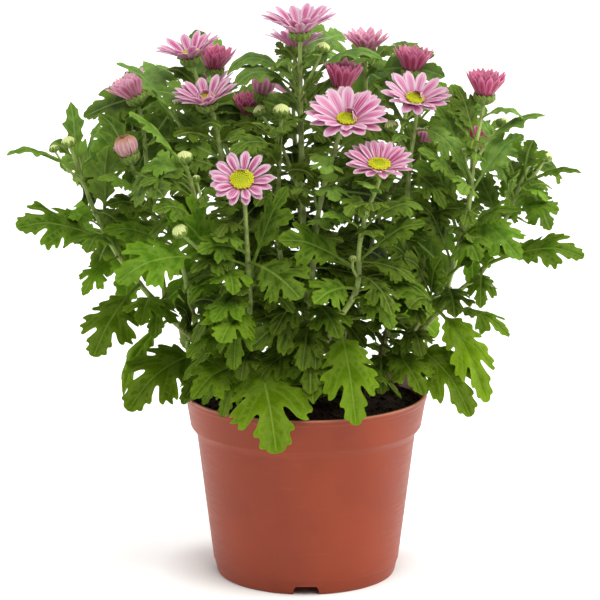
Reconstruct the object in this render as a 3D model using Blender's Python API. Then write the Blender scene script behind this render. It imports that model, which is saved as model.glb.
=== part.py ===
# Pot chrysanthemum in a 12 cm nursery pot.
# The shapes are worked out in millimetres and turned into metres where a mesh is made.
# The origin is the middle of the pot's foot, +Z is up and -Y is the side that the photo shows.
import math
import random

import bmesh
import bpy
from mathutils import Vector
from mathutils.bvhtree import BVHTree

MM = 0.001
GAP = 0.3                      # clearance between pieces that touch

# Pot
POT_SIDES = 28
RIM_RADIUS = 60.0
POT_HEIGHT = 92.0
WALL = 1.4
FOOT_RADIUS = 44.2
FLOOR_UNDER = 4.8              # underside of the pot's floor
FLOOR_TOP = 6.2
RIM_DROP = 16.5                # depth of the stepped rim
RIM_FLARE = 2.8                # how much narrower the rim is at its lower edge
SHOULDER_DROP = 3.5            # from the rim's lower edge to the wall
WALL_FOOT = 45.3               # outer radius of the wall at the step line
WALL_SLOPE = 0.1245            # growth of the wall's radius for each millimetre of height
STEP_HEIGHT = 7.0              # step line above the foot
NOTCH_WIDE = 13.4
NOTCH_NARROW = 11.5
NOTCH_HEIGHT = 4.4
DRAIN_RADIUS = 4.0
DRAIN_FROM_MIDDLE = 30.0

# Soil and the stems' lower ends
SOIL_EDGE = 86.0
SOIL_MOUND = 4.0
ROOT_DEPTH = 64.0
COLLAR = 92.5                  # the stems run straight up to this height

# Leaves
LEAF_HALF_THICK = 0.72
PETIOLE_HALF = 0.8
SHELL = 0.35                   # how much a leaf is grown when it is tested against its neighbours
ROOT_CLEAR = 0.16              # the first part of a leaf, which may touch the stem that carries it
TOWARDS_FRONT = Vector((0.0, -0.95, 0.31))
# Half outlines as (share of the blade's length, share of its half width): basal lobe, sinus,
# middle lobe with one or two teeth, sinus, shoulder
BROAD = ((0.24, 0.56), (0.36, 0.30), (0.52, 1.0), (0.62, 0.82), (0.66, 0.34), (0.81, 0.45))
PLAIN = ((0.26, 0.60), (0.38, 0.32), (0.57, 1.0), (0.67, 0.34), (0.81, 0.45))
SLIM = ((0.30, 0.80), (0.42, 0.60), (0.56, 1.0), (0.68, 0.55), (0.82, 0.52))

# Blooms
RAY_THICK = 0.9
HUB_DROP = 1.4
CALYX_HEIGHT = 4.8
# Lower and upper radius of the hub's rim as shares of its radius
FLARED_RIM = (0.94, 1.0)
CLOSED_RIM = (1.0, 0.86)

SEED = 11
GOLDEN_ANGLE = math.radians(137.5)


def unit(vector):
    return Vector(vector).normalized()


def smooth_point(points, position):
    """A point of the Catmull-Rom curve through the points, position counted in segments."""
    last = len(points) - 1
    index = min(int(position), last - 1)
    t = position - index
    p1 = Vector(points[index])
    p2 = Vector(points[index + 1])
    p0 = Vector(points[index - 1]) if index > 0 else p1 * 2 - p2
    p3 = Vector(points[index + 2]) if index + 2 <= last else p2 * 2 - p1
    m1 = (p2 - p0) / 2
    m2 = (p3 - p1) / 2
    h1 = 2 * t ** 3 - 3 * t ** 2 + 1
    h2 = t ** 3 - 2 * t ** 2 + t
    h3 = -2 * t ** 3 + 3 * t ** 2
    h4 = t ** 3 - t ** 2
    return p1 * h1 + m1 * h2 + p2 * h3 + m2 * h4


def sample_route(points, step):
    """Points about a step apart along the smooth curve through a route."""
    samples = [Vector(points[0])]
    for index in range(len(points) - 1):
        span = (Vector(points[index + 1]) - Vector(points[index])).length
        parts = max(1, round(span / step))
        for part in range(1, parts + 1):
            samples.append(smooth_point(points, index + part / parts))
    return samples


def ring_axes(samples):
    """A side and an up direction at each sample, carried along without twist."""
    axes = []
    side = Vector((1, 0, 0))
    for index, point in enumerate(samples):
        ahead = samples[min(index + 1, len(samples) - 1)] - point
        behind = point - samples[max(index - 1, 0)]
        along = (ahead + behind).normalized()
        side = (side - along * side.dot(along)).normalized()
        axes.append((side, along.cross(side)))
    return axes


def tube(samples, radii, sides):
    """A closed tube with flat ends: vertices and faces."""
    verts = []
    faces = []
    for point, radius, (side, up) in zip(samples, radii, ring_axes(samples)):
        for k in range(sides):
            angle = math.tau * k / sides
            verts.append(point + side * (radius * math.cos(angle)) + up * (radius * math.sin(angle)))
    for ring in range(len(samples) - 1):
        for k in range(sides):
            a = ring * sides + k
            b = ring * sides + (k + 1) % sides
            faces.append((a, b, b + sides, a + sides))
    faces.append(tuple(reversed(range(sides))))
    last = (len(samples) - 1) * sides
    faces.append(tuple(range(last, last + sides)))
    return verts, faces


def turned(base, axis, rings, sides):
    """A closed turned solid along an axis; a ring is (height, radius, radius of every other point)."""
    axis = unit(axis)
    side = axis.cross(Vector((0, 0, 1)))
    side = side.normalized() if side.length > 0.1 else Vector((1, 0, 0))
    other = axis.cross(side)
    verts = [base + axis * rings[0][0]]
    for height, radius, between in rings:
        for k in range(sides):
            angle = math.tau * k / sides
            reach = radius if k % 2 == 0 else between
            out = side * math.cos(angle) + other * math.sin(angle)
            verts.append(base + axis * height + out * reach)
    verts.append(base + axis * rings[-1][0])
    faces = []
    top = len(verts) - 1
    for k in range(sides):
        after = (k + 1) % sides
        faces.append((0, 1 + after, 1 + k))
        for ring in range(len(rings) - 1):
            a = 1 + ring * sides
            faces.append((a + k, a + after, a + sides + after, a + sides + k))
        last = 1 + (len(rings) - 1) * sides
        faces.append((last + k, last + after, top))
    return verts, faces


def leaf_path(root, tip, arch, position):
    """A point on the arched line from a leaf's root to its tip."""
    middle = (root + tip) / 2 + Vector((0, 0, arch * (tip - root).length))
    rest = 1 - position
    return root * rest * rest + middle * (2 * position * rest) + tip * position * position


def leaf_axes(root, tip, arch, face, position):
    """Along, side and face directions of a blade, turned towards the front by the share face."""
    ahead = leaf_path(root, tip, arch, position + 0.02)
    behind = leaf_path(root, tip, arch, position - 0.02)
    along = (ahead - behind).normalized()
    side = along.cross(Vector((0, 0, 1)))
    if side.length < 0.05:
        side = Vector((1, 0, 0))
    side.normalize()
    up = side.cross(along)
    wanted = TOWARDS_FRONT - along * TOWARDS_FRONT.dot(along)
    angle = up.angle(wanted) if wanted.length > 0.05 else 0.0
    if up.cross(wanted).dot(along) < 0:
        angle = -angle
    turn = angle * face
    return along, side * math.cos(turn) - up * math.sin(turn), up * math.cos(turn) + side * math.sin(turn)


def leaf_solid(leaf, grow=0.0, start=0.0):
    """A lobed blade on its stalk as one closed thin solid: vertices and faces."""
    root, tip, arch, face = leaf["root"], leaf["tip"], leaf["arch"], leaf["face"]
    length = (tip - root).length
    half_width = leaf["width"] * length
    stalk = leaf["stalk"]
    outline = leaf["outline"]
    thick = LEAF_HALF_THICK + grow
    petiole = PETIOLE_HALF + grow

    def place(position, across, lift):
        along, side, up = leaf_axes(root, tip, arch, face, position)
        droop = -abs(across) * abs(across) / max(half_width, 1.0) * leaf["fold"]
        return leaf_path(root, tip, arch, position) + side * across + up * (droop + lift)

    verts = []
    faces = []
    for position in (start, stalk):
        verts += [place(position, -petiole, petiole * 0.5), place(position, 0, -petiole),
                  place(position, petiole, petiole * 0.5)]
    faces += [(0, 1, 4, 3), (1, 2, 5, 4), (2, 0, 3, 5), (2, 1, 0)]
    blade = 1 - stalk
    sides = []
    for sign in (-1, 1):
        points = []
        for share, reach in outline:
            verts.append(place(stalk + blade * share, sign * (reach * half_width + grow), 0))
            points.append(len(verts) - 1)
        sides.append(points)
    verts.append(place(1 + grow / length, 0, 0))
    tip_index = len(verts) - 1
    ribs = []
    for share in (outline[1][0], outline[-2][0]):
        position = stalk + blade * share
        verts.append(place(position, 0, thick))
        verts.append(place(position, 0, -thick))
        ribs.append((len(verts) - 2, len(verts) - 1))

    sinus = len(outline) - 2
    faces.append((3, ribs[0][0], 5))
    for points, edge, flip in ((sides[0], 3, False), (sides[1], 5, True)):
        for layer, first in ((0, edge), (1, 4)):
            low, high = ribs[0][layer], ribs[1][layer]
            fans = [(first, points[0], points[1]), (first, points[1], low)]
            if layer == 1:
                fans.append((first, edge, points[0]))
            for k in range(1, sinus):
                fans.append((low, points[k], points[k + 1]))
            fans.append((low, points[sinus], high))
            fans.append((high, points[sinus], points[sinus + 1]))
            fans.append((high, points[sinus + 1], tip_index))
            for corners in fans:
                faces.append(corners if flip == (layer == 0) else tuple(reversed(corners)))
    return verts, faces


def ray_ring(bloom):
    """The rays on their hub as one closed solid: vertices and faces."""
    centre, axis = bloom["centre"], unit(bloom["axis"])
    side = axis.cross(Vector((0, 1, 0))).normalized()
    other = axis.cross(side)
    count, hub = bloom["rays"], bloom["hub"]
    length = bloom["length"] or (bloom["radius"] - hub) / math.cos(bloom["lift"])
    pitch = math.tau / count

    def out(angle):
        return side * math.cos(angle) + other * math.sin(angle)

    base = centre + axis * GAP
    verts = [base, base + axis * HUB_DROP + axis * bloom["core"]]
    for k in range(count):
        direction = out(pitch * k)
        verts.append(base + direction * (hub * bloom["rim"][0]) + axis * (HUB_DROP * 0.35))
        verts.append(base + direction * (hub * bloom["rim"][1]) + axis * HUB_DROP)
    faces = []
    for k in range(count):
        low_a, high_a = 2 + 2 * k, 3 + 2 * k
        low_b = 2 + 2 * ((k + 1) % count)
        high_b = low_b + 1
        lift = bloom["lift"] + (bloom["spread"] if k % 2 else -bloom["spread"])
        middle = pitch * (k + 0.5)
        radial = out(middle)
        across = out(middle + math.pi / 2)
        along = radial * math.cos(lift) + axis * math.sin(lift)
        up = axis * math.cos(lift) - radial * math.sin(lift)
        start = base + radial * (hub * math.cos(pitch / 2)) + axis * (HUB_DROP * 0.7)
        reach = hub * math.cos(pitch / 2) + length * 0.62 * math.cos(lift)
        wide = bloom["fill"] * math.tan(pitch / 2) * reach
        curl = -bloom["curl"] * length
        shoulder = start + along * (length * 0.62) + up * (curl * 0.4)
        end = start + along * (length * 0.98) + up * curl
        rib = start + along * (length * 0.52) + up * (curl * 0.3)
        first = len(verts)
        verts += [shoulder - across * wide, shoulder + across * wide,
                  end - across * (wide * 0.55), end + across * (wide * 0.55), rib + up * RAY_THICK]
        left, right, tip_left, tip_right, top = range(first, first + 5)
        faces += [(high_a, high_b, top), (high_b, right, top), (right, tip_right, top),
                  (tip_right, tip_left, top), (tip_left, left, top), (left, high_a, top)]
        faces += [(low_a, left, right, low_b), (left, tip_left, tip_right, right)]
        faces += [(high_a, left, low_a), (low_b, right, high_b)]
        faces += [(0, low_a, low_b), (1, high_b, high_a)]
    return verts, faces


def disc_solid(bloom):
    """The low dome of florets inside the rays."""
    centre, axis = bloom["centre"], unit(bloom["axis"])
    radius = bloom["hub"] - GAP
    base = centre + axis * (GAP + HUB_DROP + GAP)
    rings = [(0.0, radius * 0.9, radius * 0.9), (1.3, radius, radius * 0.86),
             (2.2, radius * 0.62, radius * 0.5)]
    return turned(base, axis, rings, 8)


def bud_solid(base, axis, radius):
    """A closed bud of overlapping bracts."""
    rings = [(-radius * 0.1, radius * 0.45, radius * 0.36), (radius * 0.6, radius, radius * 0.86),
             (radius * 1.5, radius * 0.62, radius * 0.78)]
    return turned(base, axis, rings, 6)


def calyx_solid(bloom):
    """The cup of green bracts under a bloom."""
    radius = bloom["calyx"]
    rings = [(-CALYX_HEIGHT, 1.5, 1.3), (-CALYX_HEIGHT * 0.6, radius * 0.8, radius * 0.66),
             (0.0, radius, radius * 0.84)]
    return turned(bloom["centre"], bloom["axis"], rings, 6)


def open_bloom(centre, axis, across, rays=14, lift=26, disc=0.30):
    """Values of an open bloom; centre is the top of its calyx, disc its share of the width."""
    return {"centre": Vector(centre), "axis": axis, "radius": across / 2, "hub": disc / 2 * across + GAP,
            "rays": rays, "lift": math.radians(lift), "spread": math.radians(6), "fill": 0.97,
            "curl": 0.10, "core": 0.0, "calyx": 5.2, "length": 0.0, "disc": True, "rim": FLARED_RIM}


def cup_bloom(centre, axis, length, rays=12, lift=60, calyx=5.0):
    """Values of a half-open bloom whose rays still stand up."""
    return {"centre": Vector(centre), "axis": axis, "radius": 0.0, "hub": calyx * 0.92, "rays": rays,
            "lift": math.radians(lift), "spread": math.radians(4), "fill": 0.96, "curl": 0.04,
            "core": length * 0.45, "calyx": calyx, "length": length, "disc": False,
            "rim": CLOSED_RIM if lift > 70 else FLARED_RIM}


# Blooms by name. The centres follow the photo; the last ones stand on the side it doesn't show.
BLOOMS = {
    "bloom_top": open_bloom((-3, 0, 271), (-0.05, -0.10, 1.0), 35.5, rays=18, lift=36),
    "bloom_left_high": open_bloom((-57, 30, 254), (-0.20, -0.12, 0.95), 31.5, rays=16, lift=34),
    "bloom_left_back": cup_bloom((-46, 48, 246), (0.12, -0.15, 1.0), 10.5, lift=56),
    "bloom_left": open_bloom((-48, -12, 238), (-0.16, -0.22, 0.95), 31.5, rays=16, lift=34),
    "bloom_far_left": cup_bloom((-84, 21, 236), (-0.48, -0.05, 0.86), 11, lift=58),
    "bloom_back_mid": cup_bloom((30, 42, 256), (0.05, -0.10, 1.0), 10.5, lift=44, calyx=4.6),
    "bloom_right_back": cup_bloom((52, 20, 249), (0.08, -0.05, 1.0), 11, lift=62),
    "bloom_mid": cup_bloom((17, -2, 244), (0.10, -0.10, 1.0), 12, lift=66),
    "bloom_front": open_bloom((19, -51, 235), (0.03, -0.44, 0.90), 39, rays=18, lift=24, disc=0.24),
    "bloom_right": open_bloom((52, -21, 240), (0.12, -0.46, 0.88), 33, rays=16, lift=28, disc=0.26),
    "bloom_front_low": open_bloom((-30, -70, 210), (-0.04, -0.68, 0.73), 31, rays=18, lift=20, disc=0.36),
    "bloom_front_right": open_bloom((34, -67, 216), (0.06, -0.36, 0.93), 32.5, rays=18, disc=0.32),
    "bloom_far_right": cup_bloom((86, -12, 242), (0.06, -0.08, 1.0), 11, lift=62),
    "bloom_opening_left": cup_bloom((-85, -25, 215), (-0.30, -0.10, 0.95), 9, rays=8, lift=82, calyx=4.6),
    "bloom_narrow": cup_bloom((-22, 22, 237), (0.20, -0.10, 1.0), 10, rays=8, lift=72, calyx=3.4),
    "bloom_inner": cup_bloom((-29, 30, 226), (0.0, -0.20, 1.0), 9, rays=8, lift=64, calyx=3.4),
    "bloom_behind_top": open_bloom((-5, 42, 257), (0.05, 0.15, 1.0), 29, lift=36),
    "bloom_opening_right": cup_bloom((57, 7, 215), (0.20, 0.0, 1.0), 6.5, rays=8, lift=78, calyx=3.5),
    "bloom_rear": open_bloom((-2, 90, 222), (-0.05, 0.50, 0.87), 35),
    "bloom_rear_left": open_bloom((-50, 74, 228), (-0.30, 0.35, 0.89), 33, lift=30),
    "bloom_rear_right": open_bloom((58, 66, 226), (0.20, 0.40, 0.89), 33),
    "bloom_side_right": cup_bloom((84, 46, 206), (0.35, 0.20, 0.9), 11.5, lift=58),
    "bloom_side_left": open_bloom((-88, 52, 202), (-0.50, 0.30, 0.81), 31),
}

# Shoots by leafy stem: name, route from the root or the fork to the tip, radius at both ends,
# and what the tip carries, a bloom's name or the radius of a bud.
STEMS = {
    "stem_front_left": (
        ("a", ((-20, -16), (-24, -27, 110), (-27, -38, 129), (-27, -45, 148), (-28, -55, 175),
               (-29, -64, 200)), 2.0, 1.25, "bloom_front_low"),
        ("h", ((-25, -33, 121), (-32, -38, 147), (-44, -44, 167), (-49, -46, 185), (-55, -48, 207),
               (-57.5, -48, 216)), 1.6, 1.0, 3.9),
        ("i", ((-40, -42, 161), (-46, -55, 170), (-53, -61, 178), (-59, -68, 185)), 1.2, 0.9, 3.6),
        ("h2", ((-48, -45.5, 180), (-50, -42, 196), (-52.5, -40.5, 206)), 0.8, 0.7, 1.9),
    ),
    "stem_left": (
        ("m", ((-32, 4), (-33, 3, 120), (-36, -1, 150), (-38, -4, 179), (-41, -8, 209),
               (-45, -9, 232)), 2.2, 1.25, "bloom_left"),
        ("g", ((-32.5, 4, 100), (-45, 2, 110), (-65, 0, 127), (-79, -2, 143), (-92, -4, 161),
               (-103, -6, 183), (-112, -8, 209), (-115, -9, 217)), 2.0, 1.0, 3.4),
        ("g2", ((-108, -7, 197), (-117, -11, 207), (-122, -12, 215)), 0.8, 0.7, 2.3),
        ("j", ((-52, 1, 117), (-57, -5, 137), (-60, -12, 156), (-68, -18, 180), (-77, -22, 196),
               (-83, -24, 206)), 1.5, 1.1, "bloom_opening_left"),
        ("k", ((-68, 0, 130), (-73, 10, 160), (-78, 16, 195), (-80, 20, 218)), 1.5, 1.1, "bloom_far_left"),
        ("k2", ((-74, 11, 165), (-84, 30, 180), (-88, 44, 192)), 1.3, 1.1, "bloom_side_left"),
        ("m2", ((-39, -5, 185), (-50, -4, 208), (-62, -7, 228), (-64, -6, 236)), 1.0, 0.8, 2.2),
    ),
    "stem_back_left": (
        ("n", ((-14, 24), (-18, 26, 130), (-28, 28, 175), (-42, 29, 215), (-54, 31, 243)),
         2.1, 1.2, "bloom_left_high"),
        ("n2", ((-21, 26.5, 145), (-32, 40, 195), (-41, 47, 230)), 1.4, 1.1, "bloom_left_back"),
        ("n3", ((-24, 27, 160), (-25, 24, 205), (-23, 22.5, 230)), 1.2, 0.9, "bloom_narrow"),
        ("n4", ((-25, 24.2, 200), (-28, 28, 212), (-29, 31, 220)), 1.0, 0.8, "bloom_inner"),
        ("n5", ((-14.5, 24.3, 104), (-20, 44, 130), (-30, 58, 165), (-42, 67, 198), (-48, 71, 217)),
         1.9, 1.2, "bloom_rear_left"),
        ("n6", ((-20, 44, 130), (-12, 62, 165), (-4, 78, 196), (-2, 86, 212)), 1.5, 1.2, "bloom_rear"),
        ("n7", ((-48, 30, 229), (-60, 24, 236), (-65, 21, 240)), 0.8, 0.7, 1.9),
    ),
    "stem_front_right": (
        ("b", ((0, -21), (4, -27, 111), (14, -38, 134), (24, -48, 154), (25, -55, 175),
               (28, -60, 192), (34, -63.5, 209)), 2.1, 1.25, "bloom_front_right"),
        ("c", ((1.5, -23.5, 103), (2, -30, 130), (3, -37, 160), (6, -42, 191), (10, -44, 209),
               (15, -46, 226)), 1.6, 1.25, "bloom_front"),
        ("b2", ((27, -58, 186), (27, -66, 190), (27, -70, 194)), 0.8, 0.7, 2.2),
        ("b3", ((24.5, -50, 160), (22, -57, 166), (22, -60, 171)), 0.8, 0.7, 1.8),
        ("c2", ((6, -42, 190), (4, -37, 195), (4, -35, 198)), 0.8, 0.7, 1.9),
    ),
    "stem_right": (
        ("f", ((30, -2), (40, -2.5, 108), (56, -3, 123), (73, -3, 141), (88, -4, 156), (99, -6, 184),
               (106, -8, 202), (109, -8, 208)), 2.1, 1.1, 3.5),
        ("f2", ((103, -7, 194), (112, -7, 203), (116, -5, 209)), 0.9, 0.8, 3.4),
        ("e", ((45, -2.7, 112), (58, -13, 134), (70, -21, 158), (78, -25, 188), (81, -20, 214),
               (85, -13, 233)), 1.7, 1.2, "bloom_far_right"),
        ("e2", ((80, -22, 208), (88, -15, 220), (95, -9, 226)), 0.9, 0.8, 3.4),
        ("e3", ((79.6, -23, 203), (77, -26, 210), (76, -25, 216)), 0.8, 0.7, 2.2),
        ("d", ((35, -2.2, 101), (43, -9, 140), (48, -13, 176), (50, -15.5, 208), (53, -17.5, 232)),
         1.6, 1.25, "bloom_right"),
        ("d2", ((50.3, -15.8, 212), (44, -18, 223), (41, -20, 227)), 0.9, 0.8, 3.2),
        ("f3", ((66, -3, 133), (75, 16, 158), (81, 32, 182), (83, 42, 196)), 1.4, 1.1, "bloom_side_right"),
    ),
    "stem_back_right": (
        ("p", ((16, 22), (20, 26, 130), (26, 34, 180), (29, 40, 225), (30, 42, 242)),
         2.1, 1.25, "bloom_back_mid"),
        ("p2", ((18.5, 24.5, 116), (32, 24, 160), (44, 21, 205), (51, 20, 236)), 1.5, 1.2,
         "bloom_right_back"),
        ("p3", ((38, 22.5, 182), (48, 14, 196), (55, 8, 206)), 1.2, 1.0, "bloom_opening_right"),
        ("p4", ((17, 23, 102), (32, 40, 135), (46, 54, 172), (55, 62, 204), (57, 63.5, 216)),
         1.8, 1.2, "bloom_rear_right"),
        ("p5", ((46, 54, 172), (70, 60, 186), (84, 62, 200)), 1.1, 0.8, 3.4),
    ),
    "stem_centre": (
        ("q", ((0, 2), (-1, 3, 150), (-2, 3, 200), (-3, 2, 242), (-3, 1, 263)), 2.1, 1.35, "bloom_top"),
        ("q1", ((-3, 2, 240), (4, 4, 252), (8, 4.5, 261)), 0.9, 0.8, 3.4),
        ("q2", ((-3, 2, 236), (-7, 8, 248), (-9, 11, 256)), 0.9, 0.8, 3.2),
        ("q3", ((-1, 3, 140), (-3, 18, 180), (-6, 32, 220), (-6, 41, 245)), 1.4, 1.2, "bloom_behind_top"),
        ("q4", ((-1.5, 3, 150), (8, 0, 190), (15, -1, 218), (16, -1.5, 233)), 1.4, 1.1, "bloom_mid"),
        ("q5", ((-0.5, 2.5, 112), (-9, -4, 145), (-14, -12, 174), (-13, -17, 206), (-12, -21, 234)),
         1.4, 1.1, 4.0),
        ("q6", ((-2, 3, 188), (-12, 4, 214), (-22, 5, 230)), 1.0, 0.8, 3.4),
    ),
}

# Large leaves that the photo shows: shoot, height of its root on the shoot, tip, half width and
# arch as shares of its length, share of the turn towards the front, outline
LARGE_LEAVES = (
    ("g", 203, (-143, -22, 217), 0.14, 0.16, 0.1, SLIM),
    ("g", 206, (-114, -3, 238), 0.17, -0.02, 0.4, SLIM),
    ("g", 199, (-101, -22, 231), 0.17, 0.05, 0.5, SLIM),
    ("g", 167, (-137, -38, 185), 0.27, 0.12, 0.55, BROAD),
    ("g", 174, (-96, -30, 222), 0.22, 0.10, 0.1, PLAIN),
    ("j", 191, (-99, -38, 207), 0.22, 0.14, 0.3, PLAIN),
    ("m2", 223, (-88, -22, 262), 0.20, 0.10, 0.2, SLIM),
    ("j", 203, (-99, -12, 236), 0.19, 0.10, 0.3, SLIM),
    ("h", 210, (-82, -54, 240), 0.22, 0.14, 0.3, PLAIN),
    ("h", 196, (-78, -66, 210), 0.20, 0.26, 0.4, PLAIN),
    ("h", 187, (-70, -76, 200), 0.23, 0.12, 0.5, PLAIN),
    ("i", 170, (-87, -90, 170), 0.27, 0.16, 0.7, BROAD),
    ("j", 167, (-96, -36, 182), 0.24, 0.12, 0.5, PLAIN),
    ("g", 146, (-103, -40, 120), 0.30, 0.16, 0.6, BROAD),
    ("g", 160, (-108, -32, 150), 0.24, 0.14, 0.5, PLAIN),
    ("g", 129, (-93, -20, 96), 0.17, 0.22, 0.2, SLIM),
    ("g", 111, (-86, -44, 97), 0.27, 0.20, 0.7, BROAD),
    ("a", 112, (-54, -64, 108), 0.27, 0.18, 0.6, PLAIN),
    ("a", 146, (-40, -88, 138), 0.32, 0.12, 0.75, BROAD),
    ("a", 168, (-3, -84, 158), 0.34, 0.14, 0.75, BROAD),
    ("c", 138, (-24, -68, 134), 0.32, 0.10, 0.8, BROAD),
    ("a", 117, (-14, -80, 84), 0.36, 0.26, 0.75, BROAD),
    ("c", 124, (2, -66, 110), 0.32, 0.12, 0.8, PLAIN),
    ("b", 136, (24, -72, 94), 0.28, 0.24, 0.8, BROAD),
    ("b", 154, (4, -84, 156), 0.29, 0.14, 0.7, PLAIN),
    ("b", 164, (-12, -68, 184), 0.29, 0.12, 0.6, PLAIN),
    ("b", 184, (8, -78, 197), 0.17, 0.14, 0.3, SLIM),
    ("a", 160, (-10, -58, 206), 0.23, 0.10, 0.6, PLAIN),
    ("a", 172, (-50, -80, 180), 0.26, 0.16, 0.6, PLAIN),
    ("b", 168, (54, -66, 192), 0.24, 0.12, 0.5, PLAIN),
    ("e", 147, (34, -56, 182), 0.23, 0.10, 0.6, PLAIN),
    ("e", 117, (79, -54, 97), 0.24, 0.20, 0.7, BROAD),
    ("e", 139, (88, -48, 99), 0.21, 0.28, 0.5, BROAD),
    ("f", 157, (134, -24, 168), 0.24, 0.16, 0.5, BROAD),
    ("e", 152, (94, -52, 176), 0.20, 0.18, 0.4, PLAIN),
    ("f", 196, (132, -26, 208), 0.15, 0.16, 0.2, SLIM),
    ("e", 216, (114, -22, 236), 0.17, 0.12, 0.2, SLIM),
    ("f", 182, (121, -28, 190), 0.20, 0.14, 0.4, PLAIN),
    ("e", 172, (98, -54, 196), 0.20, 0.16, 0.4, PLAIN),
    ("q", 240, (-36, -15, 248), 0.22, 0.42, 0.35, SLIM),
    ("q", 226, (31, 12, 259), 0.13, 0.20, 0.2, SLIM),
    ("q5", 216, (-35, -50, 222), 0.22, 0.20, 0.5, PLAIN),
    ("e", 213, (70, -8, 246), 0.17, 0.04, 0.3, SLIM),
    ("q5", 203, (14, -52, 205), 0.22, 0.18, 0.4, PLAIN),
    ("d", 205, (66, -46, 195), 0.20, 0.16, 0.4, PLAIN),
    ("d", 220, (34, -22, 250), 0.19, 0.06, 0.3, SLIM),
    ("q", 228, (14, -32, 238), 0.19, 0.16, 0.3, PLAIN),
    ("e", 195, (54, -46, 222), 0.22, 0.10, 0.4, PLAIN),
    ("f", 190, (94, -28, 214), 0.17, 0.10, 0.3, PLAIN),
    ("f", 154, (84, -38, 146), 0.24, 0.14, 0.6, PLAIN),
    ("e", 141, (50, -54, 148), 0.27, 0.12, 0.7, BROAD),
    ("d", 117, (56, -46, 104), 0.24, 0.14, 0.6, PLAIN),
    ("b", 169, (10, -76, 138), 0.27, 0.18, 0.7, PLAIN),
    ("h", 140, (-20, -64, 170), 0.29, 0.10, 0.6, PLAIN),
)

# Leaves set by rule round the shoots, mainly on the sides and the back
FILL_START = 104.0
FILL_STEP = 30.0
FILL_LONG = 46.0               # length of the lowest leaves
FILL_SHORT = 27.0              # length of the highest leaves
FILL_TOP = 250.0
FILL_SHOOTS = ("k", "k2", "n5", "n6", "p4", "p5", "f3", "n", "n2", "p", "p2", "m", "q3", "q", "q4", "d",
               "c", "f", "g", "h", "b")
CANOPY = (132.0, 112.0)        # reach of a leaf tip along X and Y


def shoot_samples(route):
    """Points along a shoot; a root point without a height stands in the soil."""
    points = [Vector(p) for p in route if len(p) == 3]
    if len(route[0]) == 2:
        x, y = route[0]
        return [Vector((x, y, ROOT_DEPTH))] + sample_route([Vector((x, y, COLLAR))] + points, 32)
    return sample_route(points, 30)


def shoot_radii(samples, start, end, rooted):
    last = len(samples) - 1
    radii = [start + (end - start) * index / last for index in range(last + 1)]
    if rooted:
        radii[1] = radii[0]
    return radii


def point_at_height(samples, height):
    """The first point of a shoot at a height."""
    for low, high in zip(samples, samples[1:]):
        if low.z <= height <= high.z:
            return low.lerp(high, (height - low.z) / (high.z - low.z))
    return samples[-1].copy()


def large_leaf(values, samples, attempt):
    """A leaf of the list; later attempts move its tip in depth and tilt it a little."""
    _, height, tip, width, arch, face, outline = values
    depth = (0, -4, 4, -8, 8, -12, 12, -16, 16)[attempt % 9]
    turn = (0.0, -0.18, 0.18, -0.36)[attempt // 9 % 4]
    shrink = 1.0 if attempt < 36 else 0.84
    root = point_at_height(samples, height)
    end = Vector(tip) + Vector((0, depth, depth * -0.2))
    return {"root": root, "tip": root + (end - root) * shrink, "arch": arch, "face": face + turn,
            "width": width, "outline": outline, "stalk": 0.24, "fold": 0.22}


def fill_leaf(shoot, samples, height, index, attempt):
    """A leaf of the rule; later attempts turn it round the shoot, tilt it and make it smaller."""
    draw = random.Random(f"{SEED} {shoot} {index}")
    heading = index * GOLDEN_ANGLE + draw.uniform(0, math.tau)
    heading += (0, 0.35, -0.35, 0.7, -0.7, 1.1, -1.1, 1.6, -1.6)[attempt % 9]
    share = min(1.0, (height - FILL_START) / (FILL_TOP - FILL_START))
    length = FILL_LONG + (FILL_SHORT - FILL_LONG) * share
    length *= draw.uniform(0.9, 1.1) * (1.0, 1.0, 0.85, 0.7)[attempt // 9 % 4]
    rise = -0.4 + 1.1 * share + draw.uniform(-0.15, 0.15) + (0, 0.25, -0.2, 0)[attempt // 9 % 4]
    root = point_at_height(samples, height)
    tip = root + unit((math.cos(heading), math.sin(heading), rise)) * length
    slim = share > 0.75
    return {"root": root, "tip": tip, "arch": 0.22, "face": 0.0, "width": 0.20 if slim else 0.28,
            "outline": SLIM if slim else PLAIN, "stalk": 0.22, "fold": 0.22}


def inside_canopy(leaf):
    tip = leaf["tip"]
    return (tip.x / CANOPY[0]) ** 2 + (tip.y / CANOPY[1]) ** 2 < 1 and 92 < tip.z < 262


def obstacle(verts, faces):
    """Corners of a solid's box and its search tree."""
    low = Vector([min(v[k] for v in verts) for k in range(3)])
    high = Vector([max(v[k] for v in verts) for k in range(3)])
    return low, high, BVHTree.FromPolygons(verts, faces)


def is_clear(shape, obstacles):
    low, high, tree = shape
    for other_low, other_high, other in obstacles:
        if any(low[k] > other_high[k] or high[k] < other_low[k] for k in range(3)):
            continue
        if tree.overlap(other):
            return False
    return True


def first_clear_leaf(make, attempts, obstacles):
    """The first attempt at a leaf that crosses nothing, or None."""
    for attempt in range(attempts):
        leaf = make(attempt)
        if leaf is None:
            continue
        if is_clear(obstacle(*leaf_solid(leaf, SHELL, ROOT_CLEAR)), obstacles):
            return leaf
    return None


def principled(name, color, roughness):
    material = bpy.data.materials.new(name)
    material.use_nodes = True
    shader = material.node_tree.nodes["Principled BSDF"]
    shader.inputs["Base Color"].default_value = (*color, 1.0)
    shader.inputs["Roughness"].default_value = roughness
    material.diffuse_color = (*color, 1.0)
    return material


def add_object(name, verts, faces, material=None):
    mesh = bpy.data.meshes.new(name)
    mesh.from_pydata([Vector(v) * MM for v in verts], [], faces)
    mesh.update()
    item = bpy.data.objects.new(name, mesh)
    bpy.context.scene.collection.objects.link(item)
    if material:
        mesh.materials.append(material)
    return item


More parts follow.
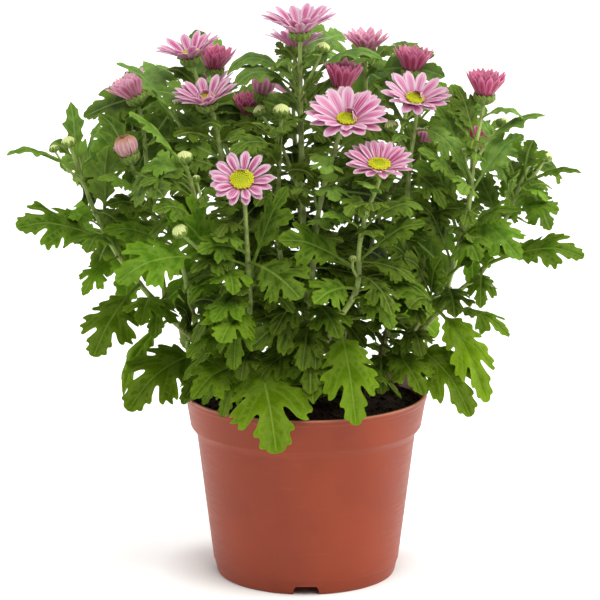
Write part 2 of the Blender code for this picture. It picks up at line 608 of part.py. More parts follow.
def clean(item):
    """Outward faces, in triangles."""
    mesh = bmesh.new()
    mesh.from_mesh(item.data)
    bmesh.ops.triangulate(mesh, faces=mesh.faces)
    bmesh.ops.recalc_face_normals(mesh, faces=mesh.faces)
    mesh.to_mesh(item.data)
    mesh.free()


def apply_modifiers(item):
    """Put the evaluated shape into the object's own mesh."""
    graph = bpy.context.evaluated_depsgraph_get()
    shape = bpy.data.meshes.new_from_object(item.evaluated_get(graph))
    item.modifiers.clear()
    item.data = shape


def boolean(item, others, operation):
    """One Boolean with a collection of solids, applied, with the solids then removed."""
    group = bpy.data.collections.new(item.name + "_parts")
    bpy.context.scene.collection.children.link(group)
    for other in others:
        bpy.context.scene.collection.objects.unlink(other)
        group.objects.link(other)
    modifier = item.modifiers.new("join", "BOOLEAN")
    modifier.operation = operation
    modifier.operand_type = "COLLECTION"
    modifier.collection = group
    apply_modifiers(item)
    for other in others:
        bpy.data.objects.remove(other)
    bpy.data.collections.remove(group)


def lathe(profile):
    """A solid turned round the Z axis from an outline that starts and ends on the axis."""
    verts = [Vector((0, 0, profile[0][1])), Vector((0, 0, profile[-1][1]))]
    faces = []
    inner = profile[1:-1]
    for radius, height in inner:
        for k in range(POT_SIDES):
            angle = math.tau * k / POT_SIDES
            verts.append(Vector((radius * math.cos(angle), radius * math.sin(angle), height)))
    last = 2 + (len(inner) - 1) * POT_SIDES
    for k in range(POT_SIDES):
        after = (k + 1) % POT_SIDES
        faces.append((0, 2 + k, 2 + after))
        faces.append((1, last + after, last + k))
        for ring in range(len(inner) - 1):
            a = 2 + ring * POT_SIDES
            faces.append((a + k, a + POT_SIDES + k, a + POT_SIDES + after, a + after))
    return verts, faces


def wall_radius(height):
    """Outer radius of the pot's tapered wall."""
    return WALL_FOOT + (height - STEP_HEIGHT) * WALL_SLOPE


def build_pot():
    rim_foot = POT_HEIGHT - RIM_DROP
    shoulder = rim_foot - SHOULDER_DROP
    profile = [
        (0, 0), (8.0, 0), (10.0, FLOOR_UNDER), (FOOT_RADIUS - 3.4, FLOOR_UNDER),
        (FOOT_RADIUS - 1.6, 0), (FOOT_RADIUS - 0.5, 0), (FOOT_RADIUS + 0.3, 1.2),
        (wall_radius(STEP_HEIGHT) - 0.4, STEP_HEIGHT), (wall_radius(STEP_HEIGHT), STEP_HEIGHT + 0.4),
        (wall_radius(shoulder), shoulder), (RIM_RADIUS - RIM_FLARE, rim_foot),
        (RIM_RADIUS, POT_HEIGHT - 0.6), (RIM_RADIUS - 0.7, POT_HEIGHT), (RIM_RADIUS - WALL, POT_HEIGHT),
        (RIM_RADIUS - RIM_FLARE - WALL, rim_foot + 0.6), (wall_radius(shoulder) - WALL, shoulder + 0.4),
        (wall_radius(FLOOR_TOP) - WALL, FLOOR_TOP), (0, FLOOR_TOP),
    ]
    pot = add_object("pot", *lathe(profile), principled("terracotta plastic", (0.48, 0.11, 0.05), 0.42))
    cutters = []
    for quarter in range(4):
        angle = math.tau * quarter / 4
        out = Vector((math.cos(angle), math.sin(angle), 0))
        across = Vector((-out.y, out.x, 0))
        verts = []
        for reach in (FOOT_RADIUS - 6, FOOT_RADIUS + 6):
            for width, height in ((-NOTCH_WIDE, -1.0), (NOTCH_WIDE, -1.0), (NOTCH_NARROW, NOTCH_HEIGHT),
                                  (-NOTCH_NARROW, NOTCH_HEIGHT)):
                verts.append(out * reach + across * (width / 2) + Vector((0, 0, height)))
        faces = [(3, 2, 1, 0), (4, 5, 6, 7), (0, 1, 5, 4), (1, 2, 6, 5), (2, 3, 7, 6), (3, 0, 4, 7)]
        cutters.append(add_object(f"notch_{quarter}", verts, faces))
        angle += math.tau / 8
        middle = Vector((math.cos(angle), math.sin(angle), 0)) * DRAIN_FROM_MIDDLE
        ends = [middle + Vector((0, 0, FLOOR_UNDER - 2)), middle + Vector((0, 0, FLOOR_TOP + 2))]
        cutters.append(add_object(f"drain_{quarter}", *tube(ends, (DRAIN_RADIUS, DRAIN_RADIUS), 6)))
    for cutter in cutters:
        clean(cutter)
    clean(pot)
    boolean(pot, cutters, "DIFFERENCE")
    pot.data.shade_smooth()
    pot.data.set_sharp_from_angle(angle=math.radians(35))


def build_soil():
    """The filled soil with a plain hole for each stem."""
    draw = random.Random(SEED)
    rim_foot = POT_HEIGHT - RIM_DROP
    shoulder = rim_foot - SHOULDER_DROP
    inset = WALL + GAP
    profile = [
        (0, FLOOR_TOP + GAP), (wall_radius(FLOOR_TOP) - inset, FLOOR_TOP + GAP),
        (wall_radius(shoulder) - inset, shoulder + 0.4), (RIM_RADIUS - RIM_FLARE - inset, rim_foot + 0.6),
        (RIM_RADIUS - inset - 1.1, SOIL_EDGE), (40.0, SOIL_EDGE + SOIL_MOUND * 0.6),
        (0, SOIL_EDGE + SOIL_MOUND),
    ]
    verts, faces = lathe(profile)
    for vert in verts:
        if vert.z > SOIL_EDGE + 0.5:
            vert.z += draw.uniform(-0.9, 0.9)
    soil = add_object("soil", verts, faces, principled("dark peat", (0.03, 0.018, 0.011), 0.95))
    holes = []
    for name, shoots in STEMS.items():
        x, y = shoots[0][1][0]
        radius = shoots[0][2] + GAP / math.cos(math.pi / 6)
        ends = [Vector((x, y, ROOT_DEPTH - GAP)), Vector((x, y, COLLAR + 4))]
        holes.append(add_object(name + "_hole", *tube(ends, (radius, radius), 6)))
    for item in holes + [soil]:
        clean(item)
    boolean(soil, holes, "DIFFERENCE")


def grow_plant():
    """Blooms, shoots with their tips, and the leaves that find room between them."""
    obstacles = [obstacle(*lathe([(0, 0), (RIM_RADIUS + 0.5, 0), (RIM_RADIUS + 0.5, POT_HEIGHT + 0.3),
                                  (0, SOIL_EDGE + SOIL_MOUND + 2)]))]
    bloom_solids = {}
    for name, bloom in BLOOMS.items():
        bloom_solids[name] = {"rays": ray_ring(bloom)}
        if bloom["disc"]:
            bloom_solids[name]["disc"] = disc_solid(bloom)
        obstacles += [obstacle(*solid) for solid in bloom_solids[name].values()]

    stem_solids = {}
    shoots = {}
    for stem, rows in STEMS.items():
        solids = []
        for shoot, route, start, end, tip in rows:
            rooted = len(route[0]) == 2
            samples = shoot_samples(route)
            if isinstance(tip, str):
                bloom = BLOOMS[tip]
                samples.append(bloom["centre"] - unit(bloom["axis"]) * (CALYX_HEIGHT * 0.5))
                solids.append(calyx_solid(bloom))
            else:
                along = samples[-1] - samples[-2]
                solids.append(bud_solid(samples[-1] - unit(along) * 0.8, along + Vector((0, 0, 6)), tip))
            sides = 6 if rooted else 4
            solids.append(tube(samples, shoot_radii(samples, start, end, rooted), sides))
            shoots[shoot] = (stem, samples)
        stem_solids[stem] = solids
        obstacles += [obstacle(*solid) for solid in solids]

    leaves = {stem: [] for stem in STEMS}
    dropped = []

    def settle(stem, label, make, attempts):
        leaf = first_clear_leaf(make, attempts, obstacles)
        if leaf is None:
            dropped.append(label)
            return
        solid = leaf_solid(leaf)
        leaves[stem].append(solid)
        obstacles.append(obstacle(*solid))

    for number, values in enumerate(LARGE_LEAVES):
        stem, samples = shoots[values[0]]
        settle(stem, f"large {number} {values[0]} {values[1]}",
               lambda attempt: large_leaf(values, samples, attempt), 72)

    for shoot in FILL_SHOOTS:
        stem, samples = shoots[shoot]
        height = max(FILL_START, samples[0].z + 9)
        index = 0
        while height < samples[-1].z - 12:
            def make(attempt):
                leaf = fill_leaf(shoot, samples, height, index, attempt)
                return leaf if inside_canopy(leaf) else None
            settle(stem, f"fill {shoot} {index}", make, 36)
            height += FILL_STEP
            index += 1
    print("leaves", {stem: len(items) for stem, items in leaves.items()}, "dropped", dropped)
    return bloom_solids, stem_solids, leaves


def build_plant():
    bloom_solids, stem_solids, leaves = grow_plant()
    leaf_green = principled("chrysanthemum leaf", (0.075, 0.19, 0.022), 0.5)
    for stem, solids in stem_solids.items():
        pieces = [add_object(f"{stem}_{k}", *solid) for k, solid in enumerate(solids + leaves[stem])]
        for piece in pieces:
            clean(piece)
        whole = pieces[0]
        boolean(whole, pieces[1:], "UNION")
        whole.name = stem
        whole.data.materials.clear()
        whole.data.materials.append(leaf_green)

    disc_yellow = principled("yellow-green disc florets", (0.58, 0.55, 0.06), 0.7)
    pink = principled("pink ray florets", (0.78, 0.30, 0.50), 0.55)
    magenta = principled("magenta ray florets", (0.56, 0.08, 0.25), 0.55)
    for name, parts in bloom_solids.items():
        cup = not BLOOMS[name]["disc"]
        rays = add_object(name + "_rays", *parts["rays"], magenta if cup else pink)
        clean(rays)
        if not cup:
            clean(add_object(name + "_disc", *parts["disc"], disc_yellow))


def main():
    for item in list(bpy.data.objects):
        bpy.data.objects.remove(item)
    build_pot()
    build_soil()
    build_plant()


main()
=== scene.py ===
import math
import random

import bmesh
import bpy
import numpy as np
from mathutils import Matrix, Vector, geometry, noise
from mathutils.bvhtree import BVHTree


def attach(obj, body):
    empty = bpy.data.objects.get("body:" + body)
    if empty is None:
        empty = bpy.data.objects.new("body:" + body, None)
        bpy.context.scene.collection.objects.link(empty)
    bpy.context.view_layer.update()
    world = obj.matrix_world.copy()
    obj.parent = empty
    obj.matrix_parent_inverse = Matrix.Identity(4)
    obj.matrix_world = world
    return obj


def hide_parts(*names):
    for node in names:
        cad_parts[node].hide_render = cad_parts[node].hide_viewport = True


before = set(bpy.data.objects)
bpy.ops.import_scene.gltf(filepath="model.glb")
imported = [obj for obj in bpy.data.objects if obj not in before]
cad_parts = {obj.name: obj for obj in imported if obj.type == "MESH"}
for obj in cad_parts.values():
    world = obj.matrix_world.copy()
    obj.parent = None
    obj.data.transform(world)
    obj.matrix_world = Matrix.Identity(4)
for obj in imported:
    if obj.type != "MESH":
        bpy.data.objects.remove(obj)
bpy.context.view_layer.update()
mm = 0.001
upward = np.array((0.0, 0.0, 1.0))


# Helpers for meshes

def unit(vector):
    vector = np.asarray(vector, float)
    return vector / max(np.linalg.norm(vector), 1e-9)


def units(vectors):
    return vectors / np.maximum(np.linalg.norm(vectors, axis=1, keepdims=True), 1e-9)


def smoothstep(values, low, high):
    share = np.clip((np.asarray(values, float) - low) / (high - low), 0, 1)
    return share * share * (3 - 2 * share)


def ringAngles(sides):
    return np.arange(sides) * math.tau / sides


def addObject(name, data):
    made = bpy.data.objects.new(name, data)
    bpy.context.scene.collection.objects.link(made)
    return made


def turnOutwards(mesh):  # every face looks out of its solid
    shape = bmesh.new()
    shape.from_mesh(mesh)
    bmesh.ops.recalc_face_normals(shape, faces=shape.faces)
    shape.to_mesh(mesh)
    shape.free()


def newBatch():
    return {"verts": [], "tris": [], "count": 0, "data": {}}


def addShell(batch, verts, tris, **data):  # one closed shell, with one value or one row for each vertex
    verts = np.asarray(verts, float)
    batch["verts"].append(verts)
    batch["tris"].append(np.asarray(tris, np.int64) + batch["count"])
    batch["count"] += len(verts)
    for name, values in data.items():
        values = np.broadcast_to(np.asarray(values, float), (len(verts), 3))
        batch["data"].setdefault(name, []).append(values)


def makePiece(name, batch, material, replaced=(), sharpAngle=50):
    verts = np.concatenate(batch["verts"]) * mm
    tris = np.concatenate(batch["tris"])
    mesh = bpy.data.meshes.new(name)
    mesh.vertices.add(len(verts))
    mesh.vertices.foreach_set("co", verts.astype(np.float32).ravel())
    mesh.loops.add(len(tris) * 3)
    mesh.loops.foreach_set("vertex_index", tris.astype(np.int32).ravel())
    mesh.polygons.add(len(tris))
    mesh.polygons.foreach_set("loop_start", np.arange(0, len(tris) * 3, 3, dtype=np.int32))
    mesh.update(calc_edges=True)
    turnOutwards(mesh)
    for key, rows in batch["data"].items():
        attribute = mesh.attributes.new(key, "FLOAT_VECTOR", "POINT")
        attribute.data.foreach_set("vector", np.concatenate(rows).astype(np.float32).ravel())
    mesh.shade_smooth()
    mesh.set_sharp_from_angle(angle=math.radians(sharpAngle))
    mesh.materials.append(material)
    piece = addObject(name, mesh)
    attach(piece, "root")
    if replaced:
        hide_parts(*replaced)
    return piece


def gridTris(rows, columns, closed=False):  # faces of a grid, joined round its columns when it's closed
    tris = []
    for row in range(rows - 1):
        for column in range(columns if closed else columns - 1):
            after = (column + 1) % columns
            a, b = row * columns + column, row * columns + after
            tris += [(a, b, b + columns), (a, b + columns, a + columns)]
    return np.array(tris)


def closedTris(count, sides):  # a grid joined round, with a fan over each end
    first, last, top = count * sides, count * sides + 1, (count - 1) * sides
    caps = []
    for k in range(sides):
        after = (k + 1) % sides
        caps += [(first, after, k), (last, top + k, top + after)]
    return np.concatenate([gridTris(count, sides, True), np.array(caps)])


def tubeShell(points, radii, sides, ridge=0.0, ridges=5, phase=0.0):  # closed tube, ribbed if asked
    points = np.asarray(points, float)
    along = units(np.gradient(points, axis=0))
    side = unit(np.cross(along[0], (0.3, 1.0, 0.2)))
    frames = []
    for direction in along:
        side = unit(side - direction * side.dot(direction))
        frames.append((side, np.cross(direction, side)))
    frames = np.array(frames)
    angles = ringAngles(sides)
    wobble = 1 + ridge * np.cos(ridges * angles + phase)
    rings = (frames[:, 0][:, None] * (np.cos(angles) * wobble)[None, :, None]
             + frames[:, 1][:, None] * (np.sin(angles) * wobble)[None, :, None])
    verts = points[:, None] + rings * np.asarray(radii, float)[:, None, None]
    verts = np.concatenate([verts.reshape(-1, 3), points[:1], points[-1:]])
    return verts, closedTris(len(points), sides)


def turnedShell(base, axis, rings, sides, swell=None):  # rings of (height, radius), capped at both ends
    base, axis = np.asarray(base, float), unit(axis)
    side = unit(np.cross(axis, (0.1, 1.0, 0.05)))
    other = np.cross(axis, side)
    angles = ringAngles(sides)
    out = side * np.cos(angles)[:, None] + other * np.sin(angles)[:, None]
    if swell is not None:
        out = out * swell[:, None]
    verts = [base + axis * height + out * radius for height, radius in rings]
    verts += [[base + axis * rings[0][0]], [base + axis * rings[-1][0]]]
    return np.concatenate(verts), closedTris(len(rings), sides)


def sheetShell(grid, thickness):  # a curved sheet given as a grid of points, made solid
    rows, columns = grid.shape[:2]
    normal = np.cross(np.gradient(grid, axis=0), np.gradient(grid, axis=1))
    normal /= np.maximum(np.linalg.norm(normal, axis=2, keepdims=True), 1e-9)
    thickness = np.broadcast_to(np.asarray(thickness, float), (rows, columns))[:, :, None]
    verts = np.concatenate([(grid + normal * thickness / 2).reshape(-1, 3),
                            (grid - normal * thickness / 2).reshape(-1, 3)])
    face = gridTris(rows, columns)
    under = rows * columns
    rim = ([*range(columns)] + [row * columns + columns - 1 for row in range(1, rows)]
           + [(rows - 1) * columns + k for k in range(columns - 2, -1, -1)]
           + [row * columns for row in range(rows - 2, 0, -1)])
    tris = [face, face[:, ::-1] + under]
    for a, b in zip(rim, rim[1:] + rim[:1]):
        tris.append([(b, a, a + under), (b, a + under, b + under)])
    return verts, np.concatenate(tris)


# Helpers for materials

def srgb(text):  # "#RRGGBB" to linear colour
    parts = [int(text[k:k + 2], 16) / 255 for k in (1, 3, 5)]
    return tuple(c / 12.92 if c <= 0.04045 else ((c + 0.055) / 1.055) ** 2.4 for c in parts) + (1.0,)


def addNode(tree, kind, values=None, links=None, stops=(), **settings):
    made = tree.nodes.new(kind)
    for name, value in settings.items():
        setattr(made, name, value)
    for socket, value in (values or {}).items():
        made.inputs[socket].default_value = value
    for socket, source in (links or {}).items():
        tree.links.new(source, made.inputs[socket])
    for place, text in stops[2:]:  # a ramp comes with two points
        made.color_ramp.elements.new(place)
    for k, (place, text) in enumerate(stops):
        point = made.color_ramp.elements[k]
        point.position, point.color = place, srgb(text)
    return made


def newMaterial(name, **values):  # a Principled surface with its even values set on the shader
    material = bpy.data.materials.new(name)
    material.use_nodes = True
    shader = material.node_tree.nodes["Principled BSDF"]
    for socket, value in values.items():
        shader.inputs[socket.replace("_", " ")].default_value = value
    return material, material.node_tree, shader


def connect(shader, **sources):
    for socket, source in sources.items():
        shader.id_data.links.new(source, shader.inputs[socket.replace("_", " ")])


def pointValues(tree, name="kind"):  # the three values that a piece's points keep under this name
    vector = addNode(tree, "ShaderNodeAttribute", attribute_name=name).outputs["Vector"]
    return addNode(tree, "ShaderNodeSeparateXYZ", links={0: vector}).outputs


def paintOver(tree, color, layers):  # lays each colour over the last, as strongly as its range says
    for source, (low, high, start, end), text in layers:
        share = addNode(tree, "ShaderNodeMapRange", {1: low, 2: high, 3: start, 4: end}, {0: source})
        color = addNode(tree, "ShaderNodeMix", {7: srgb(text)}, {0: share.outputs[0], 6: color},
                        data_type="RGBA").outputs[2]
    return color


def perMetre(size):  # noise scale for a feature of this many millimetres
    return 1000.0 / size


# Chrysanthemum leaf, softly hairy, fresh: satin green, paler veins, light comes through the blade
leafFinish = {
    "low": "#709403", "middle": "#507C08", "high": "#527729", "top": "#628548",  # by height on the plant
    "dark": "#1A3602", "pale": "#95AA60", "vein": "#9DB552", "under": "#6A813E", "rim": "#86A32C",
    "heart": "#2C4A06", "sheen": "#D6E6B8",
    "netCell": 1.7, "blotch": 15.0, "puckerAndSheen": 4.0, "grain": 0.8,  # mm
}


def makeLeafMaterial():
    f = leafFinish
    material, tree, shader = newMaterial(
        "freshLeafBlade", Roughness=0.6, IOR=1.42, Specular_IOR_Level=0.05, Subsurface_Weight=0.12,
        Subsurface_Scale=0.001, Subsurface_Radius=(0.6, 1.0, 0.15), Sheen_Weight=0.015,
        Sheen_Roughness=0.35, Sheen_Tint=srgb(f["sheen"]))
    place = addNode(tree, "ShaderNodeTexCoord").outputs["Object"]
    fromMid, fromSide, fromEdge = pointValues(tree, "veins")  # mm to the midrib, a side vein, the edge
    tone, age, under = pointValues(tree)
    blotch, puckerAndSheen, grain = (
        addNode(tree, "ShaderNodeTexNoise", {"Scale": perMetre(f[name]), "Detail": detail},
                {"Vector": place}).outputs[0]
        for name, detail in (("blotch", 1.0), ("puckerAndSheen", 2.0), ("grain", 2.0)))
    net = addNode(tree, "ShaderNodeTexVoronoi", {"Scale": perMetre(f["netCell"])}, {"Vector": place},
                  feature="DISTANCE_TO_EDGE").outputs[0]
    heights = [(0.0, f["low"]), (0.42, f["middle"]), (0.7, f["high"]), (1.0, f["top"])]
    green = addNode(tree, "ShaderNodeValToRGB", links={0: age}, stops=heights).outputs[0]
    green = paintOver(tree, green, [(blotch, (0.36, 0.70, 0.0, 0.24), f["dark"])])
    # paler patches on the puckers of the upper leaves: a painted sheen highlight
    share = addNode(tree, "ShaderNodeMapRange", {1: 0.46, 2: 0.74, 3: 0.0, 4: 0.34}, {0: puckerAndSheen}).outputs[0]
    share = addNode(tree, "ShaderNodeMath", links={0: share, 1: age}, operation="MULTIPLY").outputs[0]
    green = addNode(tree, "ShaderNodeMix", {7: srgb(f["pale"])}, {0: share, 6: green},
                    data_type="RGBA").outputs[2]
    # tone scales the green: a random tone for each leaf, and painted shade for the leaves deep inside the
    # plant
    tone = addNode(tree, "ShaderNodeMapRange", {1: 0.0, 2: 1.0, 3: 0.04, 4: 1.38}, {0: tone}).outputs[0]
    # lighter on the raised puckers and darker between them: painted light and shade
    spot = addNode(tree, "ShaderNodeMapRange", {1: 0.3, 2: 0.7, 3: 0.88, 4: 1.12}, {0: puckerAndSheen}).outputs[0]
    tone = addNode(tree, "ShaderNodeMath", links={0: tone, 1: spot}, operation="MULTIPLY").outputs[0]
    green = addNode(tree, "ShaderNodeVectorMath", links={0: green, 3: tone}, operation="SCALE").outputs[0]
    green = paintOver(tree, green, [(under, (0.0, 1.0, 0.0, 0.5), f["under"])])
    heart = addNode(tree, "ShaderNodeMapRange", {1: 0.0, 2: 6.0, 3: 0.14, 4: 0.0}, {0: fromMid}).outputs[0]
    green = addNode(tree, "ShaderNodeMix", {7: srgb(f["heart"])}, {0: heart, 6: green},
                    data_type="RGBA", blend_type="SCREEN").outputs[2]
    green = paintOver(tree, green, [(net, (0.0, 0.16, 0.06, 0.0), f["vein"]),
                                    (fromEdge, (0.0, 3.2, 0.3, 0.0), f["rim"])])
    side = addNode(tree, "ShaderNodeMapRange", {1: 0.1, 2: 0.8, 3: 0.13, 4: 0.0}, {0: fromSide}).outputs[0]
    mid = addNode(tree, "ShaderNodeMapRange", {1: 0.12, 2: 0.85, 3: 0.46, 4: 0.0}, {0: fromMid}).outputs[0]
    share = addNode(tree, "ShaderNodeMath", links={0: side, 1: mid}, operation="MAXIMUM").outputs[0]
    green = addNode(tree, "ShaderNodeMix", {7: srgb(f["vein"])}, {0: share, 6: green},
                    data_type="RGBA").outputs[2]
    rough = addNode(tree, "ShaderNodeMapRange", {1: 0.3, 2: 0.7, 3: 0.52, 4: 0.70}, {0: grain}).outputs[0]
    net = addNode(tree, "ShaderNodeMapRange", {1: 0.0, 2: 0.25, 3: 0.0, 4: 1.0}, {0: net}).outputs[0]
    skin = addNode(tree, "ShaderNodeMath", {1: 0.6}, {0: grain, 2: net}, operation="MULTIPLY_ADD").outputs[0]
    fine = addNode(tree, "ShaderNodeBump", {"Strength": 0.4, "Distance": 0.00025},
                   {"Height": skin}).outputs[0]
    side = addNode(tree, "ShaderNodeMapRange", {1: 0.0, 2: 1.3, 3: 0.0, 4: 1.0}, {0: fromSide},
                   interpolation_type="SMOOTHSTEP").outputs[0]
    mid = addNode(tree, "ShaderNodeMapRange", {1: 0.2, 2: 1.8, 3: 0.0, 4: 1.0}, {0: fromMid},
                  interpolation_type="SMOOTHSTEP").outputs[0]
    pillow = addNode(tree, "ShaderNodeMath", links={0: side, 1: mid}, operation="MULTIPLY").outputs[0]
    pillow = addNode(tree, "ShaderNodeMath", {1: 0.5}, {0: puckerAndSheen, 2: pillow},
                     operation="MULTIPLY_ADD").outputs[0]
    bump = addNode(tree, "ShaderNodeBump", {"Strength": 0.35, "Distance": 0.0003},
                   {"Height": pillow, "Normal": fine}).outputs[0]
    connect(shader, Base_Color=green, Roughness=rough, Normal=bump)
    return material


# Soft green stem, ribbed and downy, turning purplish brown where it is old
stemFinish = {"young": "#8EA452", "old": "#6E6A38", "purple": "#4A3426", "rib": "#B3C27E"}


def makeStemMaterial():
    f = stemFinish
    material, tree, shader = newMaterial("downyGreenStem", Roughness=0.6, IOR=1.42, Specular_IOR_Level=0.25)
    place = addNode(tree, "ShaderNodeTexCoord").outputs["Object"]
    age, rib, knot = pointValues(tree)
    color = addNode(tree, "ShaderNodeValToRGB", links={0: age},
                    stops=[(0.0, f["young"]), (0.55, f["old"]), (1.0, f["purple"])]).outputs[0]
    place = addNode(tree, "ShaderNodeMapping", {"Scale": (1.0, 1.0, 0.12)}, {0: place}).outputs[0]
    streaks = addNode(tree, "ShaderNodeTexNoise", {"Scale": perMetre(0.9), "Detail": 3.0},
                      {"Vector": place}).outputs[0]
    color = paintOver(tree, color, [(streaks, (0.42, 0.68, 0.0, 0.5), f["rib"]),
                                    (knot, (0.0, 1.0, 0.0, 0.45), f["purple"])])
    bump = addNode(tree, "ShaderNodeBump", {"Strength": 0.4, "Distance": 0.0002},
                   {"Height": streaks}).outputs[0]
    connect(shader, Base_Color=color, Normal=bump)
    return material


# Bracts and buds: green scales with papery pale edges, bud tops of folded cream florets
bractFinish = {"shade": "#486A28", "scale": "#738C3A", "edge": "#A9B563", "tip": "#837B3E", "bud": "#DDE3A2",
               "budDark": "#9CB152"}


def makeBractMaterial():
    f = bractFinish
    material, tree, shader = newMaterial("paperyBract", Roughness=0.6, IOR=1.42, Specular_IOR_Level=0.25)
    place = addNode(tree, "ShaderNodeTexCoord").outputs["Object"]
    across, along, bud = pointValues(tree)
    offset = addNode(tree, "ShaderNodeMath", links={0: across}, operation="ABSOLUTE").outputs[0]
    speck = addNode(tree, "ShaderNodeTexNoise", {"Scale": perMetre(1.3), "Detail": 3.0},
                    {"Vector": place}).outputs[0]
    green = addNode(tree, "ShaderNodeValToRGB", links={0: speck},
                    stops=[(0.3, f["shade"]), (0.7, f["scale"])]).outputs[0]
    green = paintOver(tree, green, [(offset, (0.45, 1.0, 0.0, 0.75), f["edge"]),
                                    (along, (0.84, 1.0, 0.0, 0.7), f["tip"])])
    cream = addNode(tree, "ShaderNodeValToRGB", links={0: across},
                    stops=[(0.0, f["budDark"]), (0.8, f["bud"])]).outputs[0]
    color = addNode(tree, "ShaderNodeMix", links={0: bud, 6: green, 7: cream}, data_type="RGBA").outputs[2]
    bump = addNode(tree, "ShaderNodeBump", {"Strength": 0.3, "Distance": 0.0002},
                   {"Height": speck}).outputs[0]
    connect(shader, Base_Color=color, Normal=bump)
    return material


# Ray floret: thin, satin, ribbed lengthwise, the colour gathered in streaks along the ribs
rayFinishes = {
    "pink": {"margin": "#DFC0CD", "field": "#D88DB0", "streak": "#A43A6B", "base": "#B85C8A",
             "tip": "#DDBAC9", "tipShare": 0.6},
    "magenta": {"margin": "#CE6E90", "field": "#BA446B", "streak": "#882043", "base": "#93344F",
                "tip": "#DC8CA4", "tipShare": 0.6},
    "faded": {"margin": "#E3A3B6", "field": "#CF7C98", "streak": "#A94A70", "base": "#B7686F",
              "tip": "#EBC0CB", "tipShare": 0.6},
    "opening": {"margin": "#E9BDBC", "field": "#DDA0A4", "streak": "#B9636F", "base": "#C4947C",
                "tip": "#A8762F", "tipShare": 0.95},
}


def makeRayMaterial(tint):
    f = rayFinishes[tint]
    material, tree, shader = newMaterial(
        tint + "RayFloret", Roughness=0.5, IOR=1.4, Specular_IOR_Level=0.35, Subsurface_Weight=0.45,
        Subsurface_Scale=0.002, Subsurface_Radius=(1.0, 0.45, 0.7), Sheen_Weight=0.1)
    across, along, tone = pointValues(tree)
    lines = addNode(tree, "ShaderNodeMath", {1: 15.0}, {0: across}, operation="MULTIPLY").outputs[0]
    lines = addNode(tree, "ShaderNodeMath", links={0: lines}, operation="COSINE").outputs[0]
    seed = addNode(tree, "ShaderNodeMath", {1: 37.0}, {0: tone}, operation="MULTIPLY").outputs[0]
    place = addNode(tree, "ShaderNodeCombineXYZ", links={0: across, 1: along, 2: seed}).outputs[0]
    place = addNode(tree, "ShaderNodeMapping", {"Scale": (5.0, 1.1, 1.0)}, {0: place}).outputs[0]
    cloud = addNode(tree, "ShaderNodeTexNoise", {"Scale": 1.0, "Detail": 3.0}, {"Vector": place}).outputs[0]
    cloud = addNode(tree, "ShaderNodeMapRange", {1: 0.3, 2: 0.7, 3: -0.5, 4: 0.9}, {0: cloud}).outputs[0]
    lines = addNode(tree, "ShaderNodeMath", {1: 0.35}, {0: lines, 2: cloud},
                    operation="MULTIPLY_ADD").outputs[0]
    offset = addNode(tree, "ShaderNodeMath", links={0: across}, operation="ABSOLUTE").outputs[0]
    middle = addNode(tree, "ShaderNodeMapRange", {1: 0.0, 2: 0.8, 3: 0.74, 4: -0.25}, {0: offset}).outputs[0]
    streak = addNode(tree, "ShaderNodeMath", links={0: lines, 1: middle}, operation="ADD",
                     use_clamp=True).outputs[0]
    for source, (low, high, start, end) in ((along, (0.55, 1.0, 1.0, 0.35)), (tone, (0.0, 1.0, 0.5, 1.4))):
        fade = addNode(tree, "ShaderNodeMapRange", {1: low, 2: high, 3: start, 4: end}, {0: source})
        streak = addNode(tree, "ShaderNodeMath", links={0: streak, 1: fade.outputs[0]},
                         operation="MULTIPLY").outputs[0]
    edge = addNode(tree, "ShaderNodeMapRange", {1: 0.38, 2: 0.9, 3: 0.0, 4: 0.95}, {0: offset}).outputs[0]
    color = addNode(tree, "ShaderNodeMix", {6: srgb(f["field"]), 7: srgb(f["margin"])}, {0: edge},
                    data_type="RGBA").outputs[2]
    color = addNode(tree, "ShaderNodeMix", {7: srgb(f["streak"])}, {0: streak, 6: color},
                    data_type="RGBA").outputs[2]
    color = paintOver(tree, color, [(along, (0.72, 1.0, 0.0, f["tipShare"]), f["tip"]),
                                    (along, (0.0, 0.3, 0.6, 0.0), f["base"])])
    bump = addNode(tree, "ShaderNodeBump", {"Strength": 0.25, "Distance": 0.0002},
                   {"Height": lines}).outputs[0]
    connect(shader, Base_Color=color, Normal=bump)
    return material


# Disc florets: waxy little tubes, yellow once open, still green in the middle
discFinish = {"open": "#CCCC1C", "closed": "#BCC61C", "deep": "#93A016", "dust": "#DAD83A"}


def makeDiscMaterial():
    f = discFinish
    material, tree, shader = newMaterial("openDiscFloret", Roughness=0.6, IOR=1.42, Specular_IOR_Level=0.3,
                                         Subsurface_Weight=0.15, Subsurface_Scale=0.001)
    place = addNode(tree, "ShaderNodeTexCoord").outputs["Object"]
    opened, height, tone = pointValues(tree)
    dust = addNode(tree, "ShaderNodeTexNoise", {"Scale": perMetre(0.5), "Detail": 2.0},
                   {"Vector": place}).outputs[0]
    color = addNode(tree, "ShaderNodeValToRGB", links={0: opened},
                    stops=[(0.1, f["closed"]), (0.75, f["open"])]).outputs[0]
    color = paintOver(tree, color, [(height, (0.0, 0.75, 0.85, 0.0), f["deep"]),
                                    (dust, (0.5, 0.75, 0.0, 0.6), f["dust"])])
    connect(shader, Base_Color=color)
    return material


# Injection-moulded polypropylene in terracotta: satin, a fine mould texture, faint scuffs and dust, and a
# painted highlight along the top edge of the rim
potFinish = {"body": "#8A3516", "shade": "#802F13", "dust": "#9F6044", "paintedRimHighlight": "#C68B70"}


